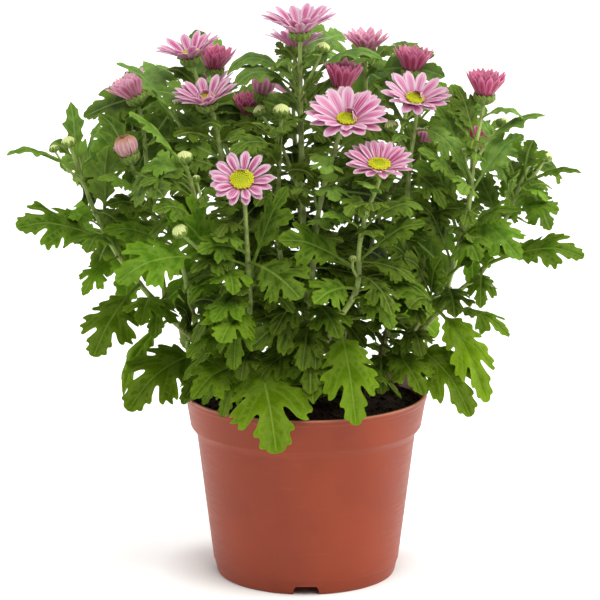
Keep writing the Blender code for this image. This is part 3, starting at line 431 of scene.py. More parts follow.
def makePotMaterial():
    f = potFinish
    material, tree, shader = newMaterial("mouldedTerracottaPolypropylene", Roughness=0.42, IOR=1.49,
                                         Specular_IOR_Level=0.3)
    place = addNode(tree, "ShaderNodeTexCoord").outputs["Object"]
    paintedRimHighlight = pointValues(tree)[0]
    cloud = addNode(tree, "ShaderNodeTexNoise", {"Scale": perMetre(35.0), "Detail": 4.0},
                    {"Vector": place}).outputs[0]
    color = addNode(tree, "ShaderNodeValToRGB", links={0: cloud},
                    stops=[(0.35, f["shade"]), (0.65, f["body"])]).outputs[0]
    scuffPlace = addNode(tree, "ShaderNodeMapping", {"Scale": (1.0, 1.0, 9.0)}, {0: place}).outputs[0]
    scuff = addNode(tree, "ShaderNodeTexNoise", {"Scale": perMetre(14.0), "Detail": 6.0, "Roughness": 0.65},
                    {"Vector": scuffPlace}).outputs[0]
    # dust on the scuffs, then a painted highlight along the rounded top edge of the rim
    color = paintOver(tree, color, [(scuff, (0.58, 0.80, 0.0, 0.2), f["dust"]),
                                    (paintedRimHighlight, (0.0, 1.0, 0.0, 0.55), f["paintedRimHighlight"])])
    rough = addNode(tree, "ShaderNodeMapRange", {1: 0.3, 2: 0.7, 3: 0.36, 4: 0.52}, {0: scuff}).outputs[0]
    grain = addNode(tree, "ShaderNodeTexNoise", {"Scale": perMetre(0.5), "Detail": 2.0},
                    {"Vector": place}).outputs[0]
    bump = addNode(tree, "ShaderNodeBump", {"Strength": 0.12, "Distance": 0.0002},
                   {"Height": grain}).outputs[0]
    connect(shader, Base_Color=color, Roughness=rough, Normal=bump)
    return material


# Damp potting peat: crumbly, near black, with paler fibres and a few drier crumbs
peatFinish = {"wet": "#140D09", "dry": "#3A261A", "fibre": "#5F452F"}


def makePeatMaterial():
    f = peatFinish
    material, tree, shader = newMaterial("dampPeat", Roughness=0.9, IOR=1.4, Specular_IOR_Level=0.25)
    place = addNode(tree, "ShaderNodeTexCoord").outputs["Object"]
    crumb = addNode(tree, "ShaderNodeTexNoise", {"Scale": perMetre(2.2), "Detail": 6.0, "Roughness": 0.7},
                    {"Vector": place}).outputs[0]
    color = addNode(tree, "ShaderNodeValToRGB", links={0: crumb},
                    stops=[(0.38, f["wet"]), (0.62, f["dry"]), (0.80, f["fibre"])]).outputs[0]
    bump = addNode(tree, "ShaderNodeBump", {"Strength": 0.8, "Distance": 0.0006},
                   {"Height": crumb}).outputs[0]
    connect(shader, Base_Color=color, Normal=bump)
    return material


# Down on the stems: fine pale hairs
downFinish = {"dull": "#A9B78C", "pale": "#C9D2B4"}


def makeDownMaterial():
    f = downFinish
    material, tree, shader = newMaterial("stemDown", Roughness=0.7, IOR=1.45)
    place = addNode(tree, "ShaderNodeTexCoord").outputs["Object"]
    drift = addNode(tree, "ShaderNodeTexNoise", {"Scale": perMetre(6.0)}, {"Vector": place}).outputs[0]
    color = addNode(tree, "ShaderNodeValToRGB", links={0: drift},
                    stops=[(0.3, f["dull"]), (0.7, f["pale"])]).outputs[0]
    connect(shader, Base_Color=color)
    return material


leafMaterial = makeLeafMaterial()
stemMaterial = makeStemMaterial()
bractMaterial = makeBractMaterial()
rayMaterials = {tint: makeRayMaterial(tint) for tint in rayFinishes}
discMaterial = makeDiscMaterial()
potMaterial = makePotMaterial()
peatMaterial = makePeatMaterial()
downMaterial = makeDownMaterial()
print("materials ready")


# The plan of the plant, with the figures of its solids

plan = {"rootDepth": 64.0, "collar": 92.5, "gap": 0.3, "calyxHeight": 4.8, "seed": 11,
        "goldenAngle": math.radians(137.5), "fillStart": 104.0, "fillStep": 30.0, "fillLong": 46.0,
        "fillShort": 27.0, "fillTop": 250.0, "reach": (132.0, 112.0)}
towardsFront = np.array((0.0, -0.95, 0.31))

# Outer points of the solids' blades: share of the blade's length, share of its half width
solidOutlines = {
    "broad": ((0.24, 0.56), (0.36, 0.30), (0.52, 1.0), (0.62, 0.82), (0.66, 0.34), (0.81, 0.45)),
    "plain": ((0.26, 0.60), (0.38, 0.32), (0.57, 1.0), (0.67, 0.34), (0.81, 0.45)),
    "slim": ((0.30, 0.80), (0.42, 0.60), (0.56, 1.0), (0.68, 0.55), (0.82, 0.52)),
}


def openBloom(centre, axis, across, rays=14, lift=26, disc=0.30, quills=(), wide=0.34, tone=0.5):
    return {"centre": np.array(centre, float), "axis": unit(axis), "radius": across / 2, "rays": rays,
            "hub": disc / 2 * across + plan["gap"], "lift": math.radians(lift), "calyx": 5.2, "open": True,
            "quills": quills, "wide": wide, "tone": tone}


def cupBloom(centre, axis, length, lift=60, calyx=5.0, tint="magenta"):
    return {"centre": np.array(centre, float), "axis": unit(axis), "hub": calyx * 0.92,
            "lift": math.radians(lift), "calyx": calyx, "length": length, "open": False, "tint": tint}


blooms = {
    "bloom_top": openBloom((-3, 0, 271), (-0.05, -0.10, 1.0), 35.5, rays=20, lift=36, wide=0.30, tone=0.4),
    "bloom_left_high": openBloom((-57, 30, 254), (-0.20, -0.12, 0.95), 31.5, rays=16, lift=34),
    "bloom_left_back": cupBloom((-46, 48, 246), (0.12, -0.15, 1.0), 10.5, lift=56),
    "bloom_left": openBloom((-48, -12, 238), (-0.16, -0.22, 0.95), 31.5, rays=16, lift=34,
                            quills=((20, 4), (160, 4), (270, 4))),
    "bloom_far_left": cupBloom((-84, 21, 236), (-0.48, -0.05, 0.86), 11, lift=58, tint="faded"),
    "bloom_back_mid": cupBloom((30, 42, 256), (0.05, -0.10, 1.0), 10.5, lift=44, calyx=4.6, tint="faded"),
    "bloom_right_back": cupBloom((52, 20, 249), (0.08, -0.05, 1.0), 11, lift=62),
    "bloom_mid": cupBloom((17, -2, 244), (0.10, -0.10, 1.0), 12, lift=66),
    "bloom_front": openBloom((19, -51, 235), (0.03, -0.44, 0.90), 39, rays=19, lift=24, disc=0.24,
                             quills=((200, 4), (250, 2)), wide=0.36, tone=0.4),
    "bloom_right": openBloom((52, -21, 240), (0.12, -0.46, 0.88), 33, rays=18, lift=28, disc=0.26,
                             quills=((225, 5),), tone=0.3),
    "bloom_front_low": openBloom((-30, -70, 210), (-0.04, -0.68, 0.73), 31, rays=18, lift=20, disc=0.36,
                                 quills=((275, 2),), wide=0.38, tone=0.9),
    "bloom_front_right": openBloom((34, -67, 216), (0.06, -0.36, 0.93), 32.5, rays=18, disc=0.32, tone=0.75),
    "bloom_far_right": cupBloom((86, -12, 242), (0.06, -0.08, 1.0), 11, lift=62),
    "bloom_opening_left": cupBloom((-85, -25, 215), (-0.30, -0.10, 0.95), 9, lift=82, calyx=4.6,
                                   tint="opening"),
    "bloom_narrow": cupBloom((-22, 22, 237), (0.20, -0.10, 1.0), 10, lift=72, calyx=3.4, tint="faded"),
    "bloom_inner": cupBloom((-29, 30, 226), (0.0, -0.20, 1.0), 9, lift=64, calyx=3.4),
    "bloom_behind_top": openBloom((-5, 42, 257), (0.05, 0.15, 1.0), 29, lift=36),
    "bloom_opening_right": cupBloom((57, 7, 215), (0.20, 0.0, 1.0), 6.5, lift=78, calyx=3.5, tint="faded"),
    "bloom_rear": openBloom((-2, 90, 222), (-0.05, 0.50, 0.87), 35),
    "bloom_rear_left": openBloom((-50, 74, 228), (-0.30, 0.35, 0.89), 33, lift=30),
    "bloom_rear_right": openBloom((58, 66, 226), (0.20, 0.40, 0.89), 33),
    "bloom_side_right": cupBloom((84, 46, 206), (0.35, 0.20, 0.9), 11.5, lift=58),
    "bloom_side_left": openBloom((-88, 52, 202), (-0.50, 0.30, 0.81), 31),
}

# Shoots by leafy stem: name, route, radius at both ends, and a bloom's name or a bud's radius
leafyStems = {
    "stem_front_left": (
        ("a", ((-20, -16), (-24, -27, 110), (-27, -38, 129), (-27, -45, 148), (-28, -55, 175),
               (-29, -64, 200)), 2.0, 1.25, "bloom_front_low"),
        ("h", ((-25, -33, 121), (-32, -38, 147), (-44, -44, 167), (-49, -46, 185), (-55, -48, 207),
               (-57.5, -48, 216)), 1.6, 1.0, 3.9),
        ("i", ((-40, -42, 161), (-46, -55, 170), (-53, -61, 178), (-59, -68, 185)), 1.2, 0.9, 3.6),
        ("h2", ((-48, -45.5, 180), (-50, -42, 196), (-52.5, -40.5, 206)), 0.8, 0.7, 1.9),
    ),
    "stem_left": (
        ("m", ((-32, 4), (-33, 3, 120), (-36, -1, 150), (-38, -4, 179), (-41, -8, 209),
               (-45, -9, 232)), 2.2, 1.25, "bloom_left"),
        ("g", ((-32.5, 4, 100), (-45, 2, 110), (-65, 0, 127), (-79, -2, 143), (-92, -4, 161),
               (-103, -6, 183), (-112, -8, 209), (-115, -9, 217)), 2.0, 1.0, 3.4),
        ("g2", ((-108, -7, 197), (-117, -11, 207), (-122, -12, 215)), 0.8, 0.7, 2.3),
        ("j", ((-52, 1, 117), (-57, -5, 137), (-60, -12, 156), (-68, -18, 180), (-77, -22, 196),
               (-83, -24, 206)), 1.5, 1.1, "bloom_opening_left"),
        ("k", ((-68, 0, 130), (-73, 10, 160), (-78, 16, 195), (-80, 20, 218)), 1.5, 1.1, "bloom_far_left"),
        ("k2", ((-74, 11, 165), (-84, 30, 180), (-88, 44, 192)), 1.3, 1.1, "bloom_side_left"),
        ("m2", ((-39, -5, 185), (-50, -4, 208), (-62, -7, 228), (-64, -6, 236)), 1.0, 0.8, 2.2),
    ),
    "stem_back_left": (
        ("n", ((-14, 24), (-18, 26, 130), (-28, 28, 175), (-42, 29, 215), (-54, 31, 243)),
         2.1, 1.2, "bloom_left_high"),
        ("n2", ((-21, 26.5, 145), (-32, 40, 195), (-41, 47, 230)), 1.4, 1.1, "bloom_left_back"),
        ("n3", ((-24, 27, 160), (-25, 24, 205), (-23, 22.5, 230)), 1.2, 0.9, "bloom_narrow"),
        ("n4", ((-25, 24.2, 200), (-28, 28, 212), (-29, 31, 220)), 1.0, 0.8, "bloom_inner"),
        ("n5", ((-14.5, 24.3, 104), (-20, 44, 130), (-30, 58, 165), (-42, 67, 198), (-48, 71, 217)),
         1.9, 1.2, "bloom_rear_left"),
        ("n6", ((-20, 44, 130), (-12, 62, 165), (-4, 78, 196), (-2, 86, 212)), 1.5, 1.2, "bloom_rear"),
        ("n7", ((-48, 30, 229), (-60, 24, 236), (-65, 21, 240)), 0.8, 0.7, 1.9),
    ),
    "stem_front_right": (
        ("b", ((0, -21), (4, -27, 111), (14, -38, 134), (24, -48, 154), (25, -55, 175),
               (28, -60, 192), (34, -63.5, 209)), 2.1, 1.25, "bloom_front_right"),
        ("c", ((1.5, -23.5, 103), (2, -30, 130), (3, -37, 160), (6, -42, 191), (10, -44, 209),
               (15, -46, 226)), 1.6, 1.25, "bloom_front"),
        ("b2", ((27, -58, 186), (27, -66, 190), (27, -70, 194)), 0.8, 0.7, 2.2),
        ("b3", ((24.5, -50, 160), (22, -57, 166), (22, -60, 171)), 0.8, 0.7, 1.8),
        ("c2", ((6, -42, 190), (4, -37, 195), (4, -35, 198)), 0.8, 0.7, 1.9),
    ),
    "stem_right": (
        ("f", ((30, -2), (40, -2.5, 108), (56, -3, 123), (73, -3, 141), (88, -4, 156), (99, -6, 184),
               (106, -8, 202), (109, -8, 208)), 2.1, 1.1, 3.5),
        ("f2", ((103, -7, 194), (112, -7, 203), (116, -5, 209)), 0.9, 0.8, 3.4),
        ("e", ((45, -2.7, 112), (58, -13, 134), (70, -21, 158), (78, -25, 188), (81, -20, 214),
               (85, -13, 233)), 1.7, 1.2, "bloom_far_right"),
        ("e2", ((80, -22, 208), (88, -15, 220), (95, -9, 226)), 0.9, 0.8, 3.4),
        ("e3", ((79.6, -23, 203), (77, -26, 210), (76, -25, 216)), 0.8, 0.7, 2.2),
        ("d", ((35, -2.2, 101), (43, -9, 140), (48, -13, 176), (50, -15.5, 208), (53, -17.5, 232)),
         1.6, 1.25, "bloom_right"),
        ("d2", ((50.3, -15.8, 212), (44, -18, 223), (41, -20, 227)), 0.9, 0.8, 3.2),
        ("f3", ((66, -3, 133), (75, 16, 158), (81, 32, 182), (83, 42, 196)), 1.4, 1.1, "bloom_side_right"),
    ),
    "stem_back_right": (
        ("p", ((16, 22), (20, 26, 130), (26, 34, 180), (29, 40, 225), (30, 42, 242)),
         2.1, 1.25, "bloom_back_mid"),
        ("p2", ((18.5, 24.5, 116), (32, 24, 160), (44, 21, 205), (51, 20, 236)), 1.5, 1.2,
         "bloom_right_back"),
        ("p3", ((38, 22.5, 182), (48, 14, 196), (55, 8, 206)), 1.2, 1.0, "bloom_opening_right"),
        ("p4", ((17, 23, 102), (32, 40, 135), (46, 54, 172), (55, 62, 204), (57, 63.5, 216)),
         1.8, 1.2, "bloom_rear_right"),
        ("p5", ((46, 54, 172), (70, 60, 186), (84, 62, 200)), 1.1, 0.8, 3.4),
    ),
    "stem_centre": (
        ("q", ((0, 2), (-1, 3, 150), (-2, 3, 200), (-3, 2, 242), (-3, 1, 263)), 2.1, 1.35, "bloom_top"),
        ("q1", ((-3, 2, 240), (4, 4, 252), (8, 4.5, 261)), 0.9, 0.8, 3.4),
        ("q2", ((-3, 2, 236), (-7, 8, 248), (-9, 11, 256)), 0.9, 0.8, 3.2),
        ("q3", ((-1, 3, 140), (-3, 18, 180), (-6, 32, 220), (-6, 41, 245)), 1.4, 1.2, "bloom_behind_top"),
        ("q4", ((-1.5, 3, 150), (8, 0, 190), (15, -1, 218), (16, -1.5, 233)), 1.4, 1.1, "bloom_mid"),
        ("q5", ((-0.5, 2.5, 112), (-9, -4, 145), (-14, -12, 174), (-13, -17, 206), (-12, -21, 234)),
         1.4, 1.1, 4.0),
        ("q6", ((-2, 3, 188), (-12, 4, 214), (-22, 5, 230)), 1.0, 0.8, 3.4),
    ),
}

# Large leaves: shoot, height of the root, tip, half width and arch as shares, turn to the front, outline
largeLeaves = (
    ("g", 203, (-143, -22, 217), 0.14, 0.16, 0.1, "slim"),
    ("g", 206, (-114, -3, 238), 0.17, -0.02, 0.4, "slim"),
    ("g", 199, (-101, -22, 231), 0.17, 0.05, 0.5, "slim"),
    ("g", 167, (-137, -38, 185), 0.27, 0.12, 0.55, "broad"),
    ("g", 174, (-96, -30, 222), 0.22, 0.10, 0.1, "plain"),
    ("j", 191, (-99, -38, 207), 0.22, 0.14, 0.3, "plain"),
    ("m2", 223, (-88, -22, 262), 0.20, 0.10, 0.2, "slim"),
    ("j", 203, (-99, -12, 236), 0.19, 0.10, 0.3, "slim"),
    ("h", 210, (-82, -54, 240), 0.22, 0.14, 0.3, "plain"),
    ("h", 196, (-78, -66, 210), 0.20, 0.26, 0.4, "plain"),
    ("h", 187, (-70, -76, 200), 0.23, 0.12, 0.5, "plain"),
    ("i", 170, (-87, -90, 170), 0.27, 0.16, 0.7, "broad"),
    ("j", 167, (-96, -36, 182), 0.24, 0.12, 0.5, "plain"),
    ("g", 146, (-103, -40, 120), 0.30, 0.16, 0.6, "broad"),
    ("g", 160, (-108, -32, 150), 0.24, 0.14, 0.5, "plain"),
    ("g", 129, (-93, -20, 96), 0.17, 0.22, 0.2, "slim"),
    ("g", 111, (-86, -44, 97), 0.27, 0.20, 0.7, "broad"),
    ("a", 112, (-54, -64, 108), 0.27, 0.18, 0.6, "plain"),
    ("a", 146, (-40, -88, 138), 0.32, 0.12, 0.75, "broad"),
    ("a", 168, (-3, -84, 158), 0.34, 0.14, 0.75, "broad"),
    ("c", 138, (-24, -68, 134), 0.32, 0.10, 0.8, "broad"),
    ("a", 117, (-14, -80, 84), 0.36, 0.26, 0.75, "broad"),
    ("c", 124, (2, -66, 110), 0.32, 0.12, 0.8, "plain"),
    ("b", 136, (24, -72, 94), 0.28, 0.24, 0.8, "broad"),
    ("b", 154, (4, -84, 156), 0.29, 0.14, 0.7, "plain"),
    ("b", 164, (-12, -68, 184), 0.29, 0.12, 0.6, "plain"),
    ("b", 184, (8, -78, 197), 0.17, 0.14, 0.3, "slim"),
    ("a", 160, (-10, -58, 206), 0.23, 0.10, 0.6, "plain"),
    ("a", 172, (-50, -80, 180), 0.26, 0.16, 0.6, "plain"),
    ("b", 168, (54, -66, 192), 0.24, 0.12, 0.5, "plain"),
    ("e", 147, (34, -56, 182), 0.23, 0.10, 0.6, "plain"),
    ("e", 117, (79, -54, 97), 0.24, 0.20, 0.7, "broad"),
    ("e", 139, (88, -48, 99), 0.21, 0.28, 0.5, "broad"),
    ("f", 157, (134, -24, 168), 0.24, 0.16, 0.5, "broad"),
    ("e", 152, (94, -52, 176), 0.20, 0.18, 0.4, "plain"),
    ("f", 196, (132, -26, 208), 0.15, 0.16, 0.2, "slim"),
    ("e", 216, (114, -22, 236), 0.17, 0.12, 0.2, "slim"),
    ("f", 182, (121, -28, 190), 0.20, 0.14, 0.4, "plain"),
    ("e", 172, (98, -54, 196), 0.20, 0.16, 0.4, "plain"),
    ("q", 240, (-36, -15, 248), 0.22, 0.42, 0.35, "slim"),
    ("q", 226, (31, 12, 259), 0.13, 0.20, 0.2, "slim"),
    ("q5", 216, (-35, -50, 222), 0.22, 0.20, 0.5, "plain"),
    ("e", 213, (70, -8, 246), 0.17, 0.04, 0.3, "slim"),
    ("q5", 203, (14, -52, 205), 0.22, 0.18, 0.4, "plain"),
    ("d", 205, (66, -46, 195), 0.20, 0.16, 0.4, "plain"),
    ("d", 220, (34, -22, 250), 0.19, 0.06, 0.3, "slim"),
    ("q", 228, (14, -32, 238), 0.19, 0.16, 0.3, "plain"),
    ("e", 195, (54, -46, 222), 0.22, 0.10, 0.4, "plain"),
    ("f", 190, (94, -28, 214), 0.17, 0.10, 0.3, "plain"),
    ("f", 154, (84, -38, 146), 0.24, 0.14, 0.6, "plain"),
    ("e", 141, (50, -54, 148), 0.27, 0.12, 0.7, "broad"),
    ("d", 117, (56, -46, 104), 0.24, 0.14, 0.6, "plain"),
    ("b", 169, (10, -76, 138), 0.27, 0.18, 0.7, "plain"),
    ("h", 140, (-20, -64, 170), 0.29, 0.10, 0.6, "plain"),
)

fillShoots = ("k", "k2", "n5", "n6", "p4", "p5", "f3", "n", "n2", "p", "p2", "m", "q3", "q", "q4", "d",
              "c", "f", "g", "h", "b")


# Curves and leaves of the plan

def smoothPoint(points, position):
    last = len(points) - 1
    index = min(int(position), last - 1)
    t = position - index
    p1, p2 = points[index], points[index + 1]
    p0 = points[index - 1] if index > 0 else p1 * 2 - p2
    p3 = points[index + 2] if index + 2 <= last else p2 * 2 - p1
    m1, m2 = (p2 - p0) / 2, (p3 - p1) / 2
    return (p1 * (2 * t ** 3 - 3 * t ** 2 + 1) + m1 * (t ** 3 - 2 * t ** 2 + t)
            + p2 * (3 * t ** 2 - 2 * t ** 3) + m2 * (t ** 3 - t ** 2))


def sampleRoute(points, step):
    points = [np.array(p, float) for p in points]
    samples = [points[0]]
    for index in range(len(points) - 1):
        parts = max(1, round(float(np.linalg.norm(points[index + 1] - points[index])) / step))
        samples += [smoothPoint(points, index + part / parts) for part in range(1, parts + 1)]
    return samples


def shootSamples(route, tip, step):  # a root point without a height stands in the soil
    points = [p for p in route if len(p) == 3]
    if len(route[0]) == 2:
        foot = (*route[0], plan["rootDepth"])
        samples = [np.array(foot, float)] + sampleRoute([(*route[0], plan["collar"])] + points, step)
    else:
        samples = sampleRoute(points, step)
    if isinstance(tip, str):
        samples.append(blooms[tip]["centre"] - blooms[tip]["axis"] * (plan["calyxHeight"] * 0.5))
    return np.array(samples)


def pointAtHeight(samples, height):
    for low, high in zip(samples, samples[1:]):
        if low[2] <= height <= high[2]:
            return low + (high - low) * (height - low[2]) / (high[2] - low[2])
    return samples[-1].copy()


def leafLength(leaf):
    return np.linalg.norm(leaf["tip"] - leaf["root"])


def leafPoints(leaf, t, across, lift):  # points beside the arched line from a leaf's root to its tip
    t, across, lift = np.broadcast_arrays(*(np.atleast_1d(np.asarray(v, float)) for v in (t, across, lift)))
    root, tip = leaf["root"], leaf["tip"]
    length = leafLength(leaf)
    middle = (root + tip) / 2 + upward * (leaf["arch"] * length)
    rest = 1 - t
    path = (root * (rest * rest)[:, None] + middle * (2 * t * rest)[:, None] + tip * (t * t)[:, None])
    along = units((middle - root) * rest[:, None] + (tip - middle) * t[:, None])
    side = np.cross(along, upward)
    side[np.linalg.norm(side, axis=1) < 0.05] = (1, 0, 0)
    side = units(side)
    up = np.cross(side, along)
    wanted = leaf["toward"] - along * (along @ leaf["toward"])[:, None]
    angle = np.arctan2((np.cross(up, wanted) * along).sum(1), (up * wanted).sum(1))
    turn = angle * leaf["face"] + leaf.get("twist", 0.0) * (t - 0.5)
    sideways = side * np.cos(turn)[:, None] - up * np.sin(turn)[:, None]
    facing = up * np.cos(turn)[:, None] + side * np.sin(turn)[:, None]
    droop = -across * across / max(leaf["width"] * length, 1.0) * leaf["fold"]
    return path + sideways * across[:, None] + facing * (droop + lift)[:, None]


def largeLeaf(values, samples, attempt):
    height, tip, width, arch, face, outline = values[1:]
    depth = (0, -4, 4, -8, 8, -12, 12, -16, 16)[attempt % 9]
    turn = (0.0, -0.18, 0.18, -0.36)[attempt // 9 % 4]
    shrink = 1.0 if attempt < 36 else 0.84
    root = pointAtHeight(samples, height)
    end = np.array(tip, float) + (0, depth, depth * -0.2)
    return {"root": root, "tip": root + (end - root) * shrink, "arch": arch, "face": face + turn,
            "width": width, "outline": outline, "stalk": 0.24, "fold": 0.22, "toward": towardsFront}


def fillLeaf(shoot, samples, height, index, attempt):
    draw = random.Random(f"{plan['seed']} {shoot} {index}")
    heading = index * plan["goldenAngle"] + draw.uniform(0, math.tau)
    heading += (0, 0.35, -0.35, 0.7, -0.7, 1.1, -1.1, 1.6, -1.6)[attempt % 9]
    share = min(1.0, (height - plan["fillStart"]) / (plan["fillTop"] - plan["fillStart"]))
    length = plan["fillLong"] + (plan["fillShort"] - plan["fillLong"]) * share
    length *= draw.uniform(0.9, 1.1) * (1.0, 1.0, 0.85, 0.7)[attempt // 9 % 4]
    rise = -0.4 + 1.1 * share + draw.uniform(-0.15, 0.15) + (0, 0.25, -0.2, 0)[attempt // 9 % 4]
    root = pointAtHeight(samples, height)
    tip = root + unit((math.cos(heading), math.sin(heading), rise)) * length
    reach = plan["reach"]
    if (tip[0] / reach[0]) ** 2 + (tip[1] / reach[1]) ** 2 >= 1 or not 92 < tip[2] < 262:
        return None
    slim = share > 0.75
    return {"root": root, "tip": tip, "arch": 0.22, "face": 0.0, "width": 0.20 if slim else 0.28,
            "outline": "slim" if slim else "plain", "stalk": 0.22, "fold": 0.22, "toward": towardsFront}


def nodeTree(name):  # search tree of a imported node, in millimetres
    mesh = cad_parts[name].data
    verts = np.zeros(len(mesh.vertices) * 3, np.float32)
    mesh.vertices.foreach_get("co", verts)
    verts = verts.reshape(-1, 3) / mm
    return BVHTree.FromPolygons([Vector(v) for v in verts], [tuple(f.vertices) for f in mesh.polygons])


def findLeaf(make, attempts, tree):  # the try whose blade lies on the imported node, or None
    best, bestMiss = None, 0.15
    for attempt in range(attempts):
        leaf = make(attempt)
        if leaf is None:
            continue
        half = leaf["width"] * leafLength(leaf)
        shares = [(1.0, 0.0)] + [(leaf["stalk"] + (1 - leaf["stalk"]) * x, sign * y * half)
                                 for x, y in solidOutlines[leaf["outline"]] for sign in (-1, 1)]
        t, across = np.array(shares).T
        points = leafPoints(leaf, t, across, 0.0)
        miss = np.mean([min(tree.find_nearest(Vector(p))[3], 1.0) for p in points])
        if miss < bestMiss:
            best, bestMiss = leaf, miss
        if miss < 0.01:
            break
    return best


trees = {name: nodeTree(name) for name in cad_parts}
shoots = {}
for stemName, rows in leafyStems.items():
    for name, route, start, end, tip in rows:
        coarse = 32 if len(route[0]) == 2 else 30  # mm between the points of the solids' shoots
        shoots[name] = {"stem": stemName, "coarse": shootSamples(route, tip, coarse),
                        "fine": shootSamples(route, tip, 2.5), "start": start, "end": end, "tip": tip}
leaves = []
for values in largeLeaves:
    shoot = shoots[values[0]]
    leaf = findLeaf(lambda attempt: largeLeaf(values, shoot["coarse"], attempt), 72, trees[shoot["stem"]])
    if leaf:
        leaves.append({**leaf, "shoot": values[0], "kind": "large"})
for name in fillShoots:
    samples = shoots[name]["coarse"]
    height, index = max(plan["fillStart"], samples[0][2] + 9), 0
    while height < samples[-1][2] - 12:
        leaf = findLeaf(lambda attempt: fillLeaf(name, samples, height, index, attempt), 36,
                        trees[shoots[name]["stem"]])
        if leaf:
            leaves.append({**leaf, "shoot": name, "kind": "fill"})
        height += plan["fillStep"]
        index += 1
print("leaves found on the solids:", len(leaves))


# Blades: a flat lobed pattern cut into triangles, with its veins, to be laid on each leaf's line
bladeShapes = {
    "broad": {"aspect": 0.36, "half": (
        (0.0, 0.05), (0.05, 0.09), (0.09, 0.20), (0.12, 0.42), (0.155, 0.56), (0.185, 0.49), (0.21, 0.54),
        (0.25, 0.74), (0.29, 0.79), (0.31, 0.70), (0.335, 0.72), (0.385, 0.88), (0.425, 0.90), (0.43, 0.77),
        (0.415, 0.62), (0.41, 0.54), (0.43, 0.52), (0.46, 0.62), (0.49, 0.84), (0.525, 0.99), (0.56, 1.01),
        (0.575, 0.89), (0.60, 0.88), (0.645, 0.99), (0.685, 0.98), (0.695, 0.85), (0.72, 0.82),
        (0.755, 0.83),
        (0.77, 0.73), (0.74, 0.59), (0.69, 0.47), (0.655, 0.38), (0.65, 0.32), (0.675, 0.29), (0.72, 0.33),
        (0.77, 0.40), (0.81, 0.48), (0.845, 0.47), (0.85, 0.37), (0.88, 0.35), (0.925, 0.40), (0.95, 0.35),
        (0.95, 0.25), (0.975, 0.21), (0.995, 0.13), (1.0, 0.0)),
        "veins": ((0.05, 0.25, 0.60), (0.10, 0.38, 0.74), (0.22, 0.51, 0.80), (0.28, 0.64, 0.86),
                  (0.36, 0.72, 0.72), (0.58, 0.81, 0.38), (0.70, 0.91, 0.32), (0.82, 0.96, 0.18))},
    "plain": {"aspect": 0.33, "half": (
        (0.0, 0.05), (0.06, 0.09), (0.105, 0.24), (0.14, 0.46), (0.18, 0.55), (0.21, 0.48), (0.24, 0.56),
        (0.285, 0.74), (0.325, 0.76), (0.345, 0.66), (0.385, 0.72), (0.42, 0.84), (0.45, 0.80),
        (0.445, 0.66), (0.43, 0.54), (0.44, 0.47), (0.47, 0.54), (0.505, 0.78), (0.545, 0.97),
        (0.58, 0.97), (0.60, 0.86),
        (0.635, 0.90), (0.68, 0.98), (0.71, 0.92), (0.72, 0.80), (0.755, 0.78), (0.775, 0.68), (0.745, 0.54),
        (0.70, 0.42), (0.67, 0.35), (0.675, 0.29), (0.71, 0.30), (0.765, 0.37), (0.81, 0.43), (0.845, 0.41),
        (0.855, 0.32), (0.90, 0.34), (0.93, 0.28), (0.945, 0.19), (0.98, 0.13), (1.0, 0.0)),
        "veins": ((0.08, 0.28, 0.60), (0.14, 0.38, 0.66), (0.26, 0.53, 0.78), (0.32, 0.65, 0.84),
                  (0.42, 0.72, 0.68), (0.60, 0.81, 0.36), (0.76, 0.92, 0.24))},
    "slim": {"aspect": 0.24, "half": (
        (0.0, 0.08), (0.10, 0.20), (0.19, 0.44), (0.26, 0.70), (0.31, 0.82), (0.325, 0.71), (0.37, 0.62),
        (0.43, 0.66), (0.49, 0.84), (0.55, 1.0), (0.595, 1.0), (0.605, 0.84), (0.64, 0.68), (0.69, 0.56),
        (0.74, 0.56), (0.80, 0.57), (0.845, 0.52), (0.855, 0.42), (0.90, 0.30), (0.95, 0.16), (1.0, 0.0)),
        "veins": ((0.12, 0.30, 0.72), (0.32, 0.56, 0.90), (0.58, 0.81, 0.48))},
}


def insideLoop(points, loop):
    inside = np.zeros(len(points), bool)
    x, y = points.T
    for (x0, y0), (x1, y1) in zip(loop, np.roll(loop, -1, axis=0)):
        crosses = (y0 > y) != (y1 > y)
        if crosses.any():
            inside ^= crosses & (x < (x1 - x0) * (y - y0) / (y1 - y0 + 1e-12) + x0)
    return inside


def lineDistance(points, lines):  # shortest distance from each point to a set of polylines
    nearest = np.full(len(points), 9.0)
    for line in lines:
        for a, b in zip(line, line[1:]):
            span = b - a
            share = np.clip(((points - a) @ span) / max(span @ span, 1e-12), 0, 1)
            nearest = np.minimum(nearest, np.linalg.norm(points - (a + share[:, None] * span), axis=1))
    return nearest


